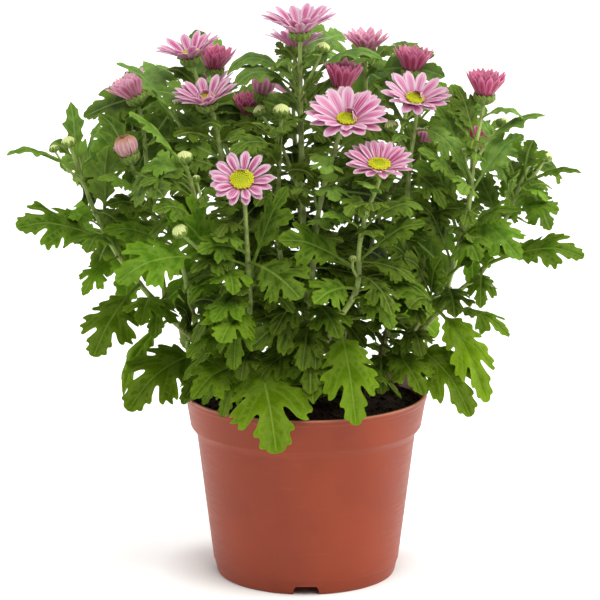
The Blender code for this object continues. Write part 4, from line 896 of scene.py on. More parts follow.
def makeBlade(kind, seed, spacing, parts):
    shape = bladeShapes[kind]
    aspect = shape["aspect"]
    draw = random.Random(f"blade {kind} {seed}")
    edges, veins = [], []
    for sign in (1, -1):
        shift, grow, bow = draw.uniform(-0.03, 0.03), draw.uniform(0.90, 1.06), draw.uniform(0.0, 0.03)
        half = []
        for x, y in shape["half"]:
            sway = math.sin(math.pi * x)
            jitter = draw.uniform(-0.006, 0.006) * sway
            wide = y * aspect * (grow + draw.uniform(-0.04, 0.04))
            half.append(np.array((x + shift * sway + jitter, wide)))
        eased = [a * 0.04 + b * 0.92 + c * 0.04 for a, b, c in zip(half, half[1:], half[2:])]
        half = half[:1] + eased + half[-1:]
        outline = [smoothPoint(half, k / parts) for k in range((len(half) - 1) * parts + 1)]
        edges.append([p * (1, sign) for p in outline])
        for x0, x1, y1 in shape["veins"]:
            start = np.array((x0, 0.0))
            end = np.array((x1 + shift * math.sin(math.pi * x1), y1 * aspect * grow * 0.92)) * (1, sign)
            bend = start * 0.5 + end * 0.5 + np.array((-0.02 - bow, 0.02 * sign))
            steps = max(3, round(float(np.linalg.norm(end - start)) / spacing))
            veins.append(np.array([start * (1 - k / steps) ** 2 + bend * 2 * (k / steps) * (1 - k / steps)
                                   + end * (k / steps) ** 2 for k in range(steps + 1)]))
    loop = np.array(edges[0] + edges[1][-2::-1])
    border = np.vstack([loop, loop[:1]])
    ribSteps = round(0.97 / spacing)
    rib = np.array([(0.97 * k / ribSteps, 0.0) for k in range(ribSteps + 1)])
    rib[0, 0] = 0.02
    coords, lines = list(loop), [(k, (k + 1) % len(loop)) for k in range(len(loop))]
    for line in [rib] + (veins if spacing < 0.05 else []):
        keep = insideLoop(line, loop) & (lineDistance(line, [border]) > spacing * 0.2)
        first = len(coords)
        start = int(np.argmax(keep))
        stop = len(keep) if keep[start:].all() else start + int(np.argmin(keep[start:]))
        kept = line[start:stop]
        coords += list(kept)
        lines += [(first + k, first + k + 1) for k in range(len(kept) - 1)]
    columns, rows = np.arange(0.0, 1.0, spacing), np.arange(-aspect * 1.1, aspect * 1.1, spacing * 0.866)
    grid = np.array([(x + (spacing / 2 if k % 2 else 0), y) for k, y in enumerate(rows) for x in columns])
    grid = grid[insideLoop(grid, loop)]
    coords += list(grid[lineDistance(grid, [border, rib] + veins) > spacing * 0.55])
    made = geometry.delaunay_2d_cdt([Vector(c) for c in coords], lines, [], 1, 1e-5)
    points = np.array([tuple(v) for v in made[0]])
    tris = np.array([f for f in made[2] if len(f) == 3])
    used = np.unique(tris)
    remap = np.full(len(points), -1)
    remap[used] = np.arange(len(used))
    points, tris = points[used], remap[tris]
    corner = points[tris]
    turn = np.cross(corner[:, 1] - corner[:, 0], corner[:, 2] - corner[:, 0])
    tris[turn < 0] = tris[turn < 0][:, ::-1]
    sides = {edge: 1 for a, b, c in tris for edge in ((a, b), (b, c), (c, a))}
    rim = np.array([edge for edge in sides if (edge[1], edge[0]) not in sides])
    mid = np.hypot(points[:, 1], np.maximum(points[:, 0] - 0.97, 0)) + 0.009 * points[:, 0] ** 2
    side = lineDistance(points, veins)
    nearest = np.minimum(mid, side)
    return {"x": points[:, 0], "y": points[:, 1] / aspect, "tris": tris, "rim": rim,
            "mid": mid, "side": side, "edge": lineDistance(points, [border]),
            "quilt": 0.016 * (1 - np.exp(-(nearest / 0.05) ** 2)) - 0.012 * np.exp(-(mid / 0.016) ** 2),
            "ribs": 0.006 * np.exp(-(side / 0.012) ** 2) * (1 - points[:, 0])}


blades = {kind: [makeBlade(kind, seed, 0.043, 2) for seed in range(5)] for kind in bladeShapes}
plainBlades = {kind: [makeBlade(kind, seed + 50, 0.075, 1) for seed in range(3)] for kind in bladeShapes}
print("blades cut:", {kind: len(blades[kind][0]["tris"]) for kind in blades},
      {kind: len(plainBlades[kind][0]["tris"]) for kind in plainBlades})

leafLook = {"thick": 0.36, "thinEdge": 0.16, "stalk": 0.80, "wave": 0.11, "curl": 0.10, "gull": 0.26,
            "narrow": 0.94}


def addLeaf(batch, leaf, blade, draw, sides=8):
    look = leafLook
    length = float(leafLength(leaf))
    stalk = leaf["stalk"]
    bladeLength, half = length * (1 - stalk), leaf["width"] * length * look["narrow"]
    x, y = blade["x"], blade["y"]
    mirror = draw.choice((-1, 1))
    phase, waves = draw.uniform(0, math.tau), draw.uniform(1.6, 2.4)
    wave = look["wave"] * half * y * y * np.sin(math.tau * waves * x + phase + 1.4 * np.sign(y * mirror))
    droop = -look["curl"] * draw.uniform(0.2, 1.6) * length
    curl = droop * smoothstep(x, 0.55, 1.1)
    ease = smoothstep(x, 0.0, 0.12)
    gull = look["gull"] * half * (np.abs(y) - 1.15 * y * y) * draw.uniform(0.5, 1.3)
    ripple = 0.06 * half * np.sin(math.tau * 3.1 * x + phase * 2) * smoothstep(np.abs(y), 0.15, 0.9)
    lift = (blade["quilt"] * bladeLength + wave + curl + gull + ripple) * ease
    thick = look["thinEdge"] + (look["thick"] - look["thinEdge"]) * smoothstep(blade["edge"], 0.0, 0.05)
    t = stalk + (1 - stalk) * x
    across = y * half * mirror
    top = leafPoints(leaf, t, across, lift + thick / 2)
    bottom = leafPoints(leaf, t, across, lift - thick / 2 - blade["ribs"] * bladeLength)
    count = len(x)
    tris, rim = blade["tris"], blade["rim"]
    a, b = rim[:, 0], rim[:, 1]
    walls = np.concatenate([np.stack([b, a, a + count], 1), np.stack([b, a + count, b + count], 1)])
    tris = np.concatenate([tris, tris[:, ::-1] + count, walls])
    veins = np.stack([blade["mid"], blade["side"], blade["edge"]], 1) * bladeLength
    # leaves deep inside the plant get a darker tone: painted shade of the plant's interior, on top of each
    # leaf's random tone
    middle = (leaf["root"] + leaf["tip"]) / 2 - (0, -4, 156)
    depth = 1 - smoothstep(np.linalg.norm(middle / (115, 85, 112)), 0.42, 0.98)
    tone, age = 0.07 + 0.86 * draw.random() ** 1.45, leaf["age"]
    if leaf["kind"] == "large":
        tone = 0.22 + 0.54 * tone + 0.1 * (1 - age)
    tone *= 1 - 0.94 * float(depth)
    kind = np.zeros((2 * count, 3))
    kind[:, 0], kind[:, 1] = tone, age
    kind[count:, 2] = 1.0
    addShell(batch, np.concatenate([top, bottom]), tris, veins=np.concatenate([veins, veins]), kind=kind)

    size = min(1.15, max(0.6, length / 45)) * look["stalk"]
    low, high = (6, 9) if sides > 6 else (5, 6)
    stations = np.concatenate([np.linspace(0.0, stalk, low),
                               np.linspace(stalk, stalk + (1 - stalk) * 0.78, high)[1:]])
    inBlade = np.clip((stations - stalk) / (1 - stalk), 0, 1)
    radius = size * np.interp(inBlade, (0, 0.02, 0.3, 0.78), (1.0, 0.78, 0.5, 0.22))
    radius[0] *= 1.5
    radius[1] *= 1.12
    sink = np.where(inBlade > 0, -radius * 0.75 - 0.12, -radius * 0.1)
    sink *= smoothstep(stations, 0, stalk * 0.9)
    sink += droop * smoothstep(inBlade, 0.55, 1.1) - 0.012 * bladeLength * smoothstep(inBlade, 0.0, 0.12)
    angles = ringAngles(sides)
    rings = [leafPoints(leaf, station, r * np.cos(angles), low + r * 0.92 * np.sin(angles))
             for station, r, low in zip(stations, radius, sink)]
    ends = [leafPoints(leaf, stations[k], 0.0, sink[k]) for k in (0, -1)]
    addShell(batch, np.concatenate(rings + ends), closedTris(len(stations), sides),
             veins=(0.45, 9.0, 9.0), kind=(tone, age, 0.35))


for leaf in leaves:
    draw = random.Random(f"age {leaf['root'][0]:.1f} {leaf['tip'][2]:.1f}")
    middle = (leaf["root"][2] + leaf["tip"][2]) / 2
    outward = math.hypot(leaf["tip"][0], leaf["tip"][1]) / 130
    leaf["age"] = float(np.clip((middle - 98) / 150 - 0.1 * outward + draw.uniform(-0.08, 0.08), 0, 1))
    if leaf["kind"] == "fill":
        leaf["twist"] = draw.uniform(-0.5, 0.5)


# More leaves between those of the solids, each on a shoot and clear of everything else
extraLook = {"step": 4.0, "tries": 18, "long": 46.0, "short": 27.0, "clear": 0.8, "apart": 1.9, "most": 410,
             "holes": 1500, "aims": 60, "least": 5, "total": 540, "cell": 1.2}
roomLow, roomHigh = (-128, -84, 90), (128, 98, 270)  # mm, where these leaves may reach

# Leaves that the photo shows and the solids leave out: shoot, height, tip, half width, arch, face, outline
photoLeaves = (
    ("q", 241, (-40, -6, 252), 0.15, 0.62, 0.4, "slim"), ("q", 234, (-32, 2, 254), 0.15, 0.36, 0.3, "slim"),
    ("q", 240, (38, -6, 258), 0.13, 0.46, 0.4, "slim"),
    ("q4", 222, (44, -24, 222), 0.26, 0.35, 0.7, "plain"),
    ("d", 224, (77, -30, 207), 0.22, 0.42, 0.6, "plain"),
    ("e", 200, (64, -6, 237), 0.26, 0.10, 0.7, "plain"),
    ("e", 218, (73, -8, 246), 0.24, 0.02, 0.7, "plain"),
    ("e", 196, (105, -14, 226), 0.26, 0.15, 0.7, "plain"),
    ("f", 186, (88, -4, 229), 0.22, 0.10, 0.6, "plain"),
    ("e", 172, (57, -16, 220), 0.22, 0.15, 0.6, "plain"),
    ("f", 182, (99, -26, 208), 0.20, 0.15, 0.5, "plain"),
    ("m", 212, (-68, 6, 231), 0.27, 0.20, 0.6, "plain"),
    ("m", 194, (-72, -14, 208), 0.27, 0.15, 0.7, "plain"),
    ("m", 178, (-44, -14, 206), 0.27, 0.06, 0.7, "plain"),
    ("m", 166, (-71, -16, 189), 0.29, 0.20, 0.7, "broad"),
    ("e", 160, (55, -30, 194), 0.30, 0.18, 0.7, "broad"),
    ("d", 168, (72, -26, 191), 0.27, 0.18, 0.7, "plain"),
    ("d", 140, (60, -22, 162), 0.30, 0.20, 0.7, "broad"),
    ("m", 136, (-52, -12, 141), 0.32, 0.25, 0.8, "broad"),
    ("m", 126, (-38, -10, 138), 0.30, 0.20, 0.7, "plain"),
    ("e", 140, (50, -44, 169), 0.29, 0.20, 0.8, "broad"),
    ("e", 139, (62, -40, 166), 0.26, 0.16, 0.8, "plain"),
    ("m", 114, (-59, -26, 95), 0.27, 0.26, 0.85, "broad"),
    ("c", 150, (8, -44, 149), 0.30, 0.16, 0.8, "broad"),
    ("q5", 118, (-11, -30, 119), 0.29, 0.25, 0.8, "broad"),
    ("d", 128, (33, -40, 132), 0.30, 0.20, 0.8, "broad"),
    ("c", 176, (18, -40, 176), 0.30, 0.20, 0.8, "broad"),
    ("q5", 190, (-24, -36, 193), 0.29, 0.25, 0.8, "plain"),
    ("q5", 172, (-29, -40, 171), 0.30, 0.20, 0.8, "broad"),
    ("d", 112, (36, -36, 100), 0.30, 0.30, 0.8, "broad"),
    ("b", 112, (14, -44, 106), 0.30, 0.25, 0.8, "broad"),
    ("e", 124, (55, -40, 122), 0.30, 0.20, 0.8, "broad"),
    ("g", 182, (-90, -20, 177), 0.27, 0.25, 0.7, "plain"),
    ("q3", 216, (-30, 16, 232), 0.24, 0.10, 0.5, "plain"),
    ("q3", 205, (16, 22, 226), 0.24, 0.10, 0.5, "plain"),
    ("n", 205, (-20, 12, 226), 0.24, 0.10, 0.5, "plain"),
    ("p2", 196, (66, 16, 214), 0.24, 0.10, 0.5, "plain"),
    ("f", 176, (82, 12, 204), 0.26, 0.10, 0.6, "plain"),
    ("f3", 176, (96, 26, 190), 0.26, 0.10, 0.5, "plain"),
    ("f3", 188, (70, 24, 206), 0.24, 0.10, 0.5, "plain"),
    ("p4", 190, (40, 44, 214), 0.24, 0.10, 0.5, "plain"),
    ("q", 206, (6, -26, 214), 0.27, 0.14, 0.8, "plain"),
    ("q", 190, (-8, -28, 190), 0.29, 0.18, 0.8, "broad"),
    ("q", 172, (8, -26, 168), 0.29, 0.20, 0.8, "broad"),
    ("q", 150, (-4, -26, 146), 0.30, 0.20, 0.8, "broad"),
    ("q4", 200, (26, -26, 206), 0.27, 0.14, 0.8, "plain"),
    ("q", 222, (-14, -20, 232), 0.26, 0.12, 0.7, "plain"),
    ("q", 236, (6, -16, 252), 0.22, 0.08, 0.7, "plain"),
    ("q", 244, (-16, -12, 256), 0.20, 0.12, 0.6, "plain"),
    ("m", 216, (-30, -20, 226), 0.26, 0.12, 0.7, "plain"),
    ("m", 204, (-62, -26, 214), 0.26, 0.12, 0.7, "plain"),
)


# Square cells over the plant: mm from the middle to the left edge and from the floor down, whole span,
# and how much of a height and of a depth shows as height from the camera
cellPlan = {"left": 180, "under": 40, "span": 360, "coarse": 2.0, "height": 0.976, "depth": 0.219}


def cellsOf(points, view, size=cellPlan["coarse"]):  # as the camera sees them (0) or from the side (1)
    rise = points[:, 2]
    if view == 0:
        rise = rise * cellPlan["height"] + points[:, 1] * cellPlan["depth"]
    return (((points[:, view] + cellPlan["left"]) / size).astype(int),
            ((rise + cellPlan["under"]) / size).astype(int))


def emptyCells(size=cellPlan["coarse"]):
    return np.zeros((round(cellPlan["span"] / size),) * 2, bool)


def frontMask(names, size=cellPlan["coarse"]):  # where the camera sees these solids before the white
    mask = emptyCells(size)
    shares = np.array([(a / 8, b / 8) for a in range(9) for b in range(9 - a)])
    for name in names:
        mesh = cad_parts[name].data
        mesh.calc_loop_triangles()
        verts = np.array([v.co for v in mesh.vertices]) / mm
        corners = verts[np.array([t.vertices for t in mesh.loop_triangles])]
        a, b = shares[:, 0], shares[:, 1]
        points = (corners[:, None, 0] * a[None, :, None] + corners[:, None, 1] * b[None, :, None]
                  + corners[:, None, 2] * (1 - a - b)[None, :, None]).reshape(-1, 3)
        mask[cellsOf(points, 0, size)] = True
    return mask


def shifted(mask, dx, dz):
    return np.roll(np.roll(mask, dx, 0), dz, 1)


def grownMask(mask):
    grown = mask.copy()
    for dx, dz in ((1, 0), (-1, 0), (0, 1), (0, -1), (2, 0), (-2, 0), (0, 2), (0, -2), (1, 1), (-1, -1),
                   (1, -1), (-1, 1)):
        grown |= shifted(mask, dx, dz)
    return grown


def wholeTree():
    verts, faces = [], []
    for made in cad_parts.values():
        first = len(verts)
        verts += [v.co / mm for v in made.data.vertices]
        faces += [tuple(first + k for k in f.vertices) for f in made.data.polygons]
    return BVHTree.FromPolygons(verts, faces)


# Where a leaf is tested: share of its length from the root, share of its half width
probePlaces = ((0.12, 0), (0.2, 0), (0.3, -0.4), (0.3, 0), (0.3, 0.4), (0.45, -0.6), (0.45, 0), (0.45, 0.6),
               (0.6, -1), (0.6, -0.5), (0.6, 0), (0.6, 0.5), (0.6, 1), (0.8, -0.55), (0.8, 0), (0.8, 0.55),
               (0.92, 0), (1.0, 0))


def bladeProbe(leaf, dense=False):
    half = leaf["width"] * leafLength(leaf)
    if dense:
        blade = blades[leaf["outline"]][0]
        t, across = leaf["stalk"] + (1 - leaf["stalk"]) * blade["x"], blade["y"] * half * leafLook["narrow"]
        return leafPoints(leaf, t, across, 0.0)
    t, across = np.array(probePlaces).T
    return leafPoints(leaf, t, across * half, 0.0)


coverPoints = {}  # points all over a blade, closer together than the fine cells
for kind, cut in blades.items():
    flat = np.stack([cut[0]["x"], cut[0]["y"]], 1)
    corner = flat[cut[0]["tris"]]
    edgeMiddles = ((corner + np.roll(corner, 1, 1)) / 2).reshape(-1, 2)
    coverPoints[kind] = np.concatenate([flat, corner.mean(1), edgeMiddles])


def fineCells(leaf):
    x, y = coverPoints[leaf["outline"]].T
    half = leaf["width"] * leafLength(leaf) * leafLook["narrow"]
    points = leafPoints(leaf, leaf["stalk"] + (1 - leaf["stalk"]) * x, y * half, 0.0)
    cells = emptyCells(extraLook["cell"])
    cells[cellsOf(points, 0, extraLook["cell"])] = True
    return cells


def bloomDepths(shape):  # how far back the nearest bloom of a cell stands
    depths = np.full(shape, -999.0)
    for name in sorted(blooms, key=lambda bloom: -blooms[bloom]["centre"][1]):
        if blooms[name]["centre"][1] < 60:
            depths[frontMask([name + "_rays"])] = blooms[name]["centre"][1]
    return depths


def makeRoom():  # what the new leaves have to fit into
    mask = grownMask(frontMask(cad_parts))
    steps = np.arange(len(mask)) * 2
    across, rise = np.meshgrid(steps - 179.0, steps - 39.0, indexing="ij")
    mask |= ((across + 4) / 68) ** 2 + ((rise - 182) / 60) ** 2 < 1  # the close middle of the plant
    covered = frontMask([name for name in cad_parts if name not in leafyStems])
    for shoot in shoots.values():
        for offset in (-1, 0, 1):
            covered[cellsOf(shoot["fine"] + (offset, 0, 0), 0)] = True
    return {"mask": mask, "tree": wholeTree(), "bloomDepth": bloomDepths(mask.shape), "placed": [],
            "taken": np.zeros((0, 3)), "seen": {0: covered, 1: emptyCells()}}  # from the front and side


def fits(leaf, masked, clear, apart=extraLook["apart"]):  # its test points, or None if there is no room
    points = bladeProbe(leaf)
    if (points < roomLow).any() or (points > roomHigh).any():
        return None
    if masked and not room["mask"][cellsOf(points[3:], 0)].all():
        return None
    if masked and ((np.abs(points[:, 0]) > 62) & (points[:, 2] < 168) & (points[:, 1] < 30)).any():
        return None  # the photo shows few leaves low down at both sides
    if masked and (points[:, 1].mean() < room["bloomDepth"][cellsOf(points, 0)]).any():
        return None
    for point in points[2:]:
        if room["tree"].find_nearest(Vector(point), clear)[0] is not None:
            return None
        if point[2] < 96 and math.hypot(point[0], point[1]) < 61 + clear:
            return None
    if len(room["taken"]) and np.linalg.norm(points[2:, None] - room["taken"][None], axis=2).min() < apart:
        return None
    return points


def markSeen(leaf):
    for view in (0, 1):
        room["seen"][view][cellsOf(bladeProbe(leaf, True), view)] = True


def keep(leaf, points):
    room["placed"].append(leaf)
    room["taken"] = np.vstack([room["taken"], points[2:]])
    markSeen(leaf)


def placePhotoLeaves():
    for shoot, height, tip, width, arch, face, outline in photoLeaves:
        root = pointAtHeight(shoots[shoot]["coarse"], height)
        draw = random.Random(f"photo {shoot} {height} {tip}")
        for attempt in range(140):
            moved = [draw.uniform(-1, 1) * attempt * size for size in (0.05, 0.16, 0.06)]
            leaf = {"root": root, "tip": np.array(tip, float) + moved, "width": width,
                    "arch": arch + draw.uniform(-0.04, 0.06), "face": face + draw.uniform(-0.25, 0.1),
                    "outline": outline, "stalk": 0.2, "fold": 0.22, "toward": towardsFront,
                    "shoot": shoot, "kind": "photo", "twist": draw.uniform(-0.3, 0.3)}
            points = fits(leaf, False, 0.6)
            if points is not None:
                keep(leaf, points)
                break
    print("leaves of the photo:", len(room["placed"]), "of", len(photoLeaves))


def placeShootLeaves():
    order = []
    for name, shoot in shoots.items():
        samples = shoot["fine"]
        low, high = max(99.0, samples[0][2] + 5), samples[-1][2] - 6
        count = max(0, int((high - low) / extraLook["step"]))
        order += [(name, low + (k + 0.5) * extraLook["step"], k) for k in range(count)]
    random.Random(plan["seed"]).shuffle(order)
    for name, height, k in order:
        if len(room["placed"]) >= extraLook["most"]:
            break
        draw = random.Random(f"extra {name} {k}")
        root = pointAtHeight(shoots[name]["coarse"], height)
        outward = math.atan2(root[1], root[0] + 1e-6)
        share = min(1.0, max(0.0, (height - 100) / 140))
        best, bestGain = None, 3.0
        for attempt in range(extraLook["tries"]):
            heading = outward + draw.gauss(0, 1.1)
            length = extraLook["long"] + (extraLook["short"] - extraLook["long"]) * share
            length *= draw.uniform(0.75, 1.12) * (1 - 0.35 * attempt / extraLook["tries"])
            rise = -0.55 + 1.1 * share + draw.uniform(-0.35, 0.35)
            slim = share > 0.85 or draw.random() < 0.12
            way = np.array((math.cos(heading), math.sin(heading), rise))
            toward = unit((way[0] * 50 + root[0] * 0.4, way[1] * 50 + root[1] * 0.4 - 20, 30))
            leaf = {"root": root, "tip": root + unit(way) * length, "arch": draw.uniform(0.10, 0.34),
                    "face": draw.uniform(0.2, 0.9),
                    "outline": "slim" if slim else draw.choice(("plain", "broad")),
                    "width": draw.uniform(0.17, 0.22) if slim else draw.uniform(0.25, 0.31),
                    "stalk": 0.2, "fold": 0.24, "toward": toward, "shoot": name, "kind": "extra",
                    "twist": draw.uniform(-0.5, 0.5)}
            points = fits(leaf, True, extraLook["clear"])
            if points is not None:
                dense = bladeProbe(leaf, True)[::3]
                fromFront, fromSide = ((~room["seen"][view][cellsOf(dense, view)]).sum() for view in (0, 1))
                gain = fromFront + 0.5 * fromSide + length * 0.2
                if gain > bestGain:
                    best, bestGain = (leaf, points), gain
        if best:
            keep(*best)
    print("leaves along the shoots:", len(room["placed"]))


def openCells():  # fine cells within the plant's outline, and those of them that something covers
    inner = room["mask"].copy()
    for dx, dz in ((3, 0), (-3, 0), (0, 3), (0, -3)):
        inner &= shifted(room["mask"], dx, dz)
    size = extraLook["cell"]
    closed = frontMask([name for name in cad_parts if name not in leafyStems], size)
    for shoot in shoots.values():
        line = np.concatenate([shoot["fine"], (shoot["fine"][1:] + shoot["fine"][:-1]) / 2])
        for offset in (-1.2, 0, 1.2):
            closed[cellsOf(line + (offset, 0, 0), 0, size)] = True
    for leaf in leaves + room["placed"]:
        closed |= fineCells(leaf)
    index = ((np.arange(len(closed)) + 0.5) * size / 2).astype(int)
    inner = inner[np.ix_(index, index)]
    inner[:, :round(150 / size)] = False
    return inner, closed


def placeHoleLeaves():  # leaves aimed at the holes that show the white behind
    stations = [(name, point) for name, shoot in shoots.items() for point in shoot["coarse"]
                if 99 < point[2] < 250]
    stations += [(name, (a + b) / 2) for name, shoot in shoots.items()
                 for a, b in zip(shoot["coarse"], shoot["coarse"][1:]) if 99 < (a[2] + b[2]) / 2 < 250]
    roots = np.array([point for name, point in stations])
    inner, closed = openCells()
    draw, size = random.Random("holes"), extraLook["cell"]
    for turn in range(extraLook["holes"]):
        empty = inner & ~closed
        crowd = sum(shifted(empty, dx, dz).astype(int) for dx in (-1, 0, 1) for dz in (-1, 0, 1))
        holes = np.argwhere(empty & (crowd >= (5 if turn < extraLook["holes"] * 0.7 else 3)))
        if len(holes) == 0 or len(room["placed"]) >= extraLook["total"]:
            break
        hole = (holes[draw.randrange(len(holes))] + 0.5) * size
        x = hole[0] - cellPlan["left"]
        near = np.flatnonzero((np.abs(roots[:, 0] - x) < 38)
                              & (np.abs(roots[:, 2] - hole[1] + cellPlan["under"]) < 36))
        best, bestGain = None, extraLook["least"] - 0.5
        for attempt in range(extraLook["aims"] if len(near) else 0):
            name, root = stations[near[draw.randrange(len(near))]]
            y = float(np.clip(root[1] + draw.uniform(-34, 34), -60, 90))
            z = (hole[1] - cellPlan["under"] - y * cellPlan["depth"]) / cellPlan["height"]
            target = np.array((x, y, z))
            way = target - root
            length = np.linalg.norm(way) / draw.uniform(0.55, 0.8)
            if not 15 < length < 56:
                continue
            leaf = {"root": root, "tip": root + unit(way) * length, "arch": draw.uniform(0.02, 0.2),
                    "face": draw.uniform(0.5, 1.0), "outline": draw.choice(("plain", "broad")),
                    "width": draw.uniform(0.25, 0.33), "stalk": 0.2, "fold": 0.24, "toward": towardsFront,
                    "shoot": name, "kind": "extra", "twist": draw.uniform(-0.3, 0.3)}
            points = fits(leaf, True, 0.15, 0.4)
            if points is not None:
                gain = (fineCells(leaf) & empty).sum()
                if gain > bestGain:
                    best, bestGain = (leaf, points), gain
        if best:
            keep(*best)
            closed |= fineCells(best[0])
    print("leaves with those before holes:", len(room["placed"]))
    print("cells still open:", (inner & ~closed).sum())


room = makeRoom()
for leaf in leaves:
    markSeen(leaf)
placePhotoLeaves()
placeShootLeaves()
placeHoleLeaves()
for leaf in room["placed"]:
    draw = random.Random(f"age {leaf['tip'][0]:.1f} {leaf['tip'][2]:.1f}")
    middle = (leaf["root"][2] + leaf["tip"][2]) / 2
    leaf["age"] = float(np.clip((middle - 95) / 152 + draw.uniform(-0.1, 0.1), 0, 1))
leaves += room["placed"]
print("leaves in all:", len(leaves))


for leaf in leaves:  # the root moves from the solids' straight segments to the smooth shoot
    fine = shoots[leaf["shoot"]]["fine"]
    leaf["station"] = int(np.argmin(np.linalg.norm(fine - leaf["root"], axis=1)))
    leaf["root"] = leaf["root"] * 0.35 + fine[leaf["station"]] * 0.65


def batchEachStem():
    return {stemName: newBatch() for stemName in leafyStems}


def makePieces(batches, ending, material, sharpAngle=50):
    for stemName, batch in batches.items():
        makePiece(stemName + ending, batch, material, (stemName,), sharpAngle)
    count = sum(len(tris) for batch in batches.values() for tris in batch["tris"])
    print("made the stems'" + ending.replace("_", " ") + ":", count, "triangles")


leafBatches = batchEachStem()
for number, leaf in enumerate(leaves):
    draw = random.Random(f"leaf {number}")
    fine = leaf["kind"] != "extra" or leaf["tip"][1] < -44
    patterns = (blades if fine else plainBlades)[leaf["outline"]]
    addLeaf(leafBatches[shoots[leaf["shoot"]]["stem"]], leaf, draw.choice(patterns), draw, 8 if fine else 6)
makePieces(leafBatches, "_leaves", leafMaterial, 40)


# Shoots: ribbed and downy, a little thicker at each leaf
shootLook = {"sides": 12, "ribs": 6, "ribDepth": 0.07, "knot": 0.22, "knotLength": 1.8, "purpleTo": 150.0,
             "taper": 0.22, "slim": 0.93}
downLook = {"perMm": 2.3, "length": 0.75, "thick": 0.085}


def addHair(batch, foot, direction, length, thick):
    side = unit(np.cross(direction, (0.31, 0.7, 0.52)))
    other = np.cross(direction, side)
    verts = [foot + side * thick, foot - side * thick / 2 + other * thick * 0.87,
             foot - side * thick / 2 - other * thick * 0.87, foot + direction * length]
    addShell(batch, verts, [(0, 2, 1), (0, 1, 3), (1, 2, 3), (2, 0, 3)])


stemBatches, downBatches = batchEachStem(), batchEachStem()
for name, shoot in shoots.items():
    samples = shoot["fine"]
    steps = np.linalg.norm(np.diff(samples, axis=0), axis=1)
    distance = np.concatenate([[0], np.cumsum(steps)])
    share = distance / distance[-1]
    radii = shoot["start"] + (shoot["end"] - shoot["start"]) * share
    knots = np.zeros(len(samples))
    for leaf in leaves:
        if leaf["shoot"] == name:
            offset = (distance - distance[leaf["station"]]) / shootLook["knotLength"]
            knots = np.maximum(knots, np.exp(-offset ** 2))
    radii = radii * shootLook["slim"] * (1 - shootLook["taper"] * share) * (1 + shootLook["knot"] * knots)
    sides = shootLook["sides"]
    phase = random.Random(name).uniform(0, math.tau)
    verts, tris = tubeShell(samples, radii, sides, shootLook["ribDepth"], shootLook["ribs"], phase)
    age = 1 - smoothstep(samples[:, 2], 92, shootLook["purpleTo"])
    rib = np.cos(shootLook["ribs"] * np.arange(sides) * math.tau / sides + phase)
    kind = np.zeros((len(samples), sides, 3))
    kind[:, :, 0], kind[:, :, 1], kind[:, :, 2] = age[:, None], rib[None], knots[:, None]
    kind = np.concatenate([kind.reshape(-1, 3), [(age[0], 0, 0), (age[-1], 0, 0)]])
    addShell(stemBatches[shoot["stem"]], verts, tris, kind=kind)
    draw = random.Random("down " + name)
    down = downBatches[shoot["stem"]]
    for k in range(len(samples) - 1):
        if samples[k][2] < 100:
            continue
        along = unit(samples[k + 1] - samples[k])
        side = unit(np.cross(along, (0.2, 0.9, 0.1)))
        other = np.cross(along, side)
        for hair in range(round(steps[k] * downLook["perMm"])):
            angle, place = draw.uniform(0, math.tau), draw.random()
            out = side * math.cos(angle) + other * math.sin(angle)
            foot = samples[k] + (samples[k + 1] - samples[k]) * place + out * (radii[k] * 0.96)
            lean = unit(out + along * draw.uniform(-0.2, 0.7))
            addHair(down, foot, lean, downLook["length"] * draw.uniform(0.5, 1.2), downLook["thick"])
makePieces(stemBatches, "_shoots", stemMaterial)
makePieces(downBatches, "_down", downMaterial, 180)


# Bracts: overlapping scales round the cup of each bloom and each bud
scaleLook = {"thick": 0.22, "rows": 4, "columns": 4}


def axisFrame(axis):
    side = unit(np.cross(axis, (0.0, 1.0, 0.0)))
    return side, np.cross(axis, side)


def addScale(batch, base, axis, surface, low, high, angle, halfAngle, proud, draw):
    side, other = axisFrame(axis)
    rows, columns = scaleLook["rows"], scaleLook["columns"]
    along = np.linspace(0, 1, rows)
    across = np.linspace(-1, 1, columns)
    width = np.interp(along, (0, 0.3, 0.6, 0.85, 1.0), (0.75, 1.0, 0.92, 0.55, 0.12))
    grid = np.zeros((rows, columns, 3))
    kind = np.zeros((rows, columns, 3))
    bend = draw.uniform(-0.1, 0.1)
    for row in range(rows):
        height = low + (high - low) * along[row]
        radius = np.interp(height, *surface)
        stand = scaleLook["thick"] * 0.6 + proud * along[row] ** 1.5
        for column in range(columns):
            turn = angle + halfAngle * width[row] * across[column] + bend * along[row] * halfAngle
            out = side * math.cos(turn) + other * math.sin(turn)
            keel = 0.12 * (1 - across[column] ** 2)
            grid[row, column] = base + axis * height + out * (radius + stand + keel)
            kind[row, column] = across[column], along[row], 0.0
    verts, tris = sheetShell(grid, scaleLook["thick"])
    kind = kind.reshape(-1, 3)
    addShell(batch, verts, tris, kind=np.concatenate([kind, kind]))


def addCalyx(batch, bloom, name):
    draw = random.Random("calyx " + name)
    radius, axis, base = bloom["calyx"], bloom["axis"], bloom["centre"]
    heights = (-4.9, -4.4, -3.7, -2.9, -1.8, -0.8, 0.0)
    radii = tuple(radius * share for share in (0.27, 0.42, 0.66, 0.84, 0.97, 1.0, 0.98))
    surface = (heights, radii)
    rings = list(zip(*surface)) + [(0.25, radius * 0.7)]
    addShell(batch, *turnedShell(base, axis, rings, 28), kind=(0.0, 0.2, 0.0))
    rows = ((-3.1, 0.9, 13, 0.15), (-4.0, -0.4, 12, 0.35), (-4.7, -2.0, 10, 0.5))
    for row, (low, high, count, proud) in enumerate(rows):
        for k in range(count):
            angle = (k + 0.5 * row + draw.uniform(-0.1, 0.1)) * math.tau / count
            addScale(batch, base, axis, surface, low, high + draw.uniform(-0.3, 0.3), angle,
                     math.pi / count * 1.15, proud, draw)


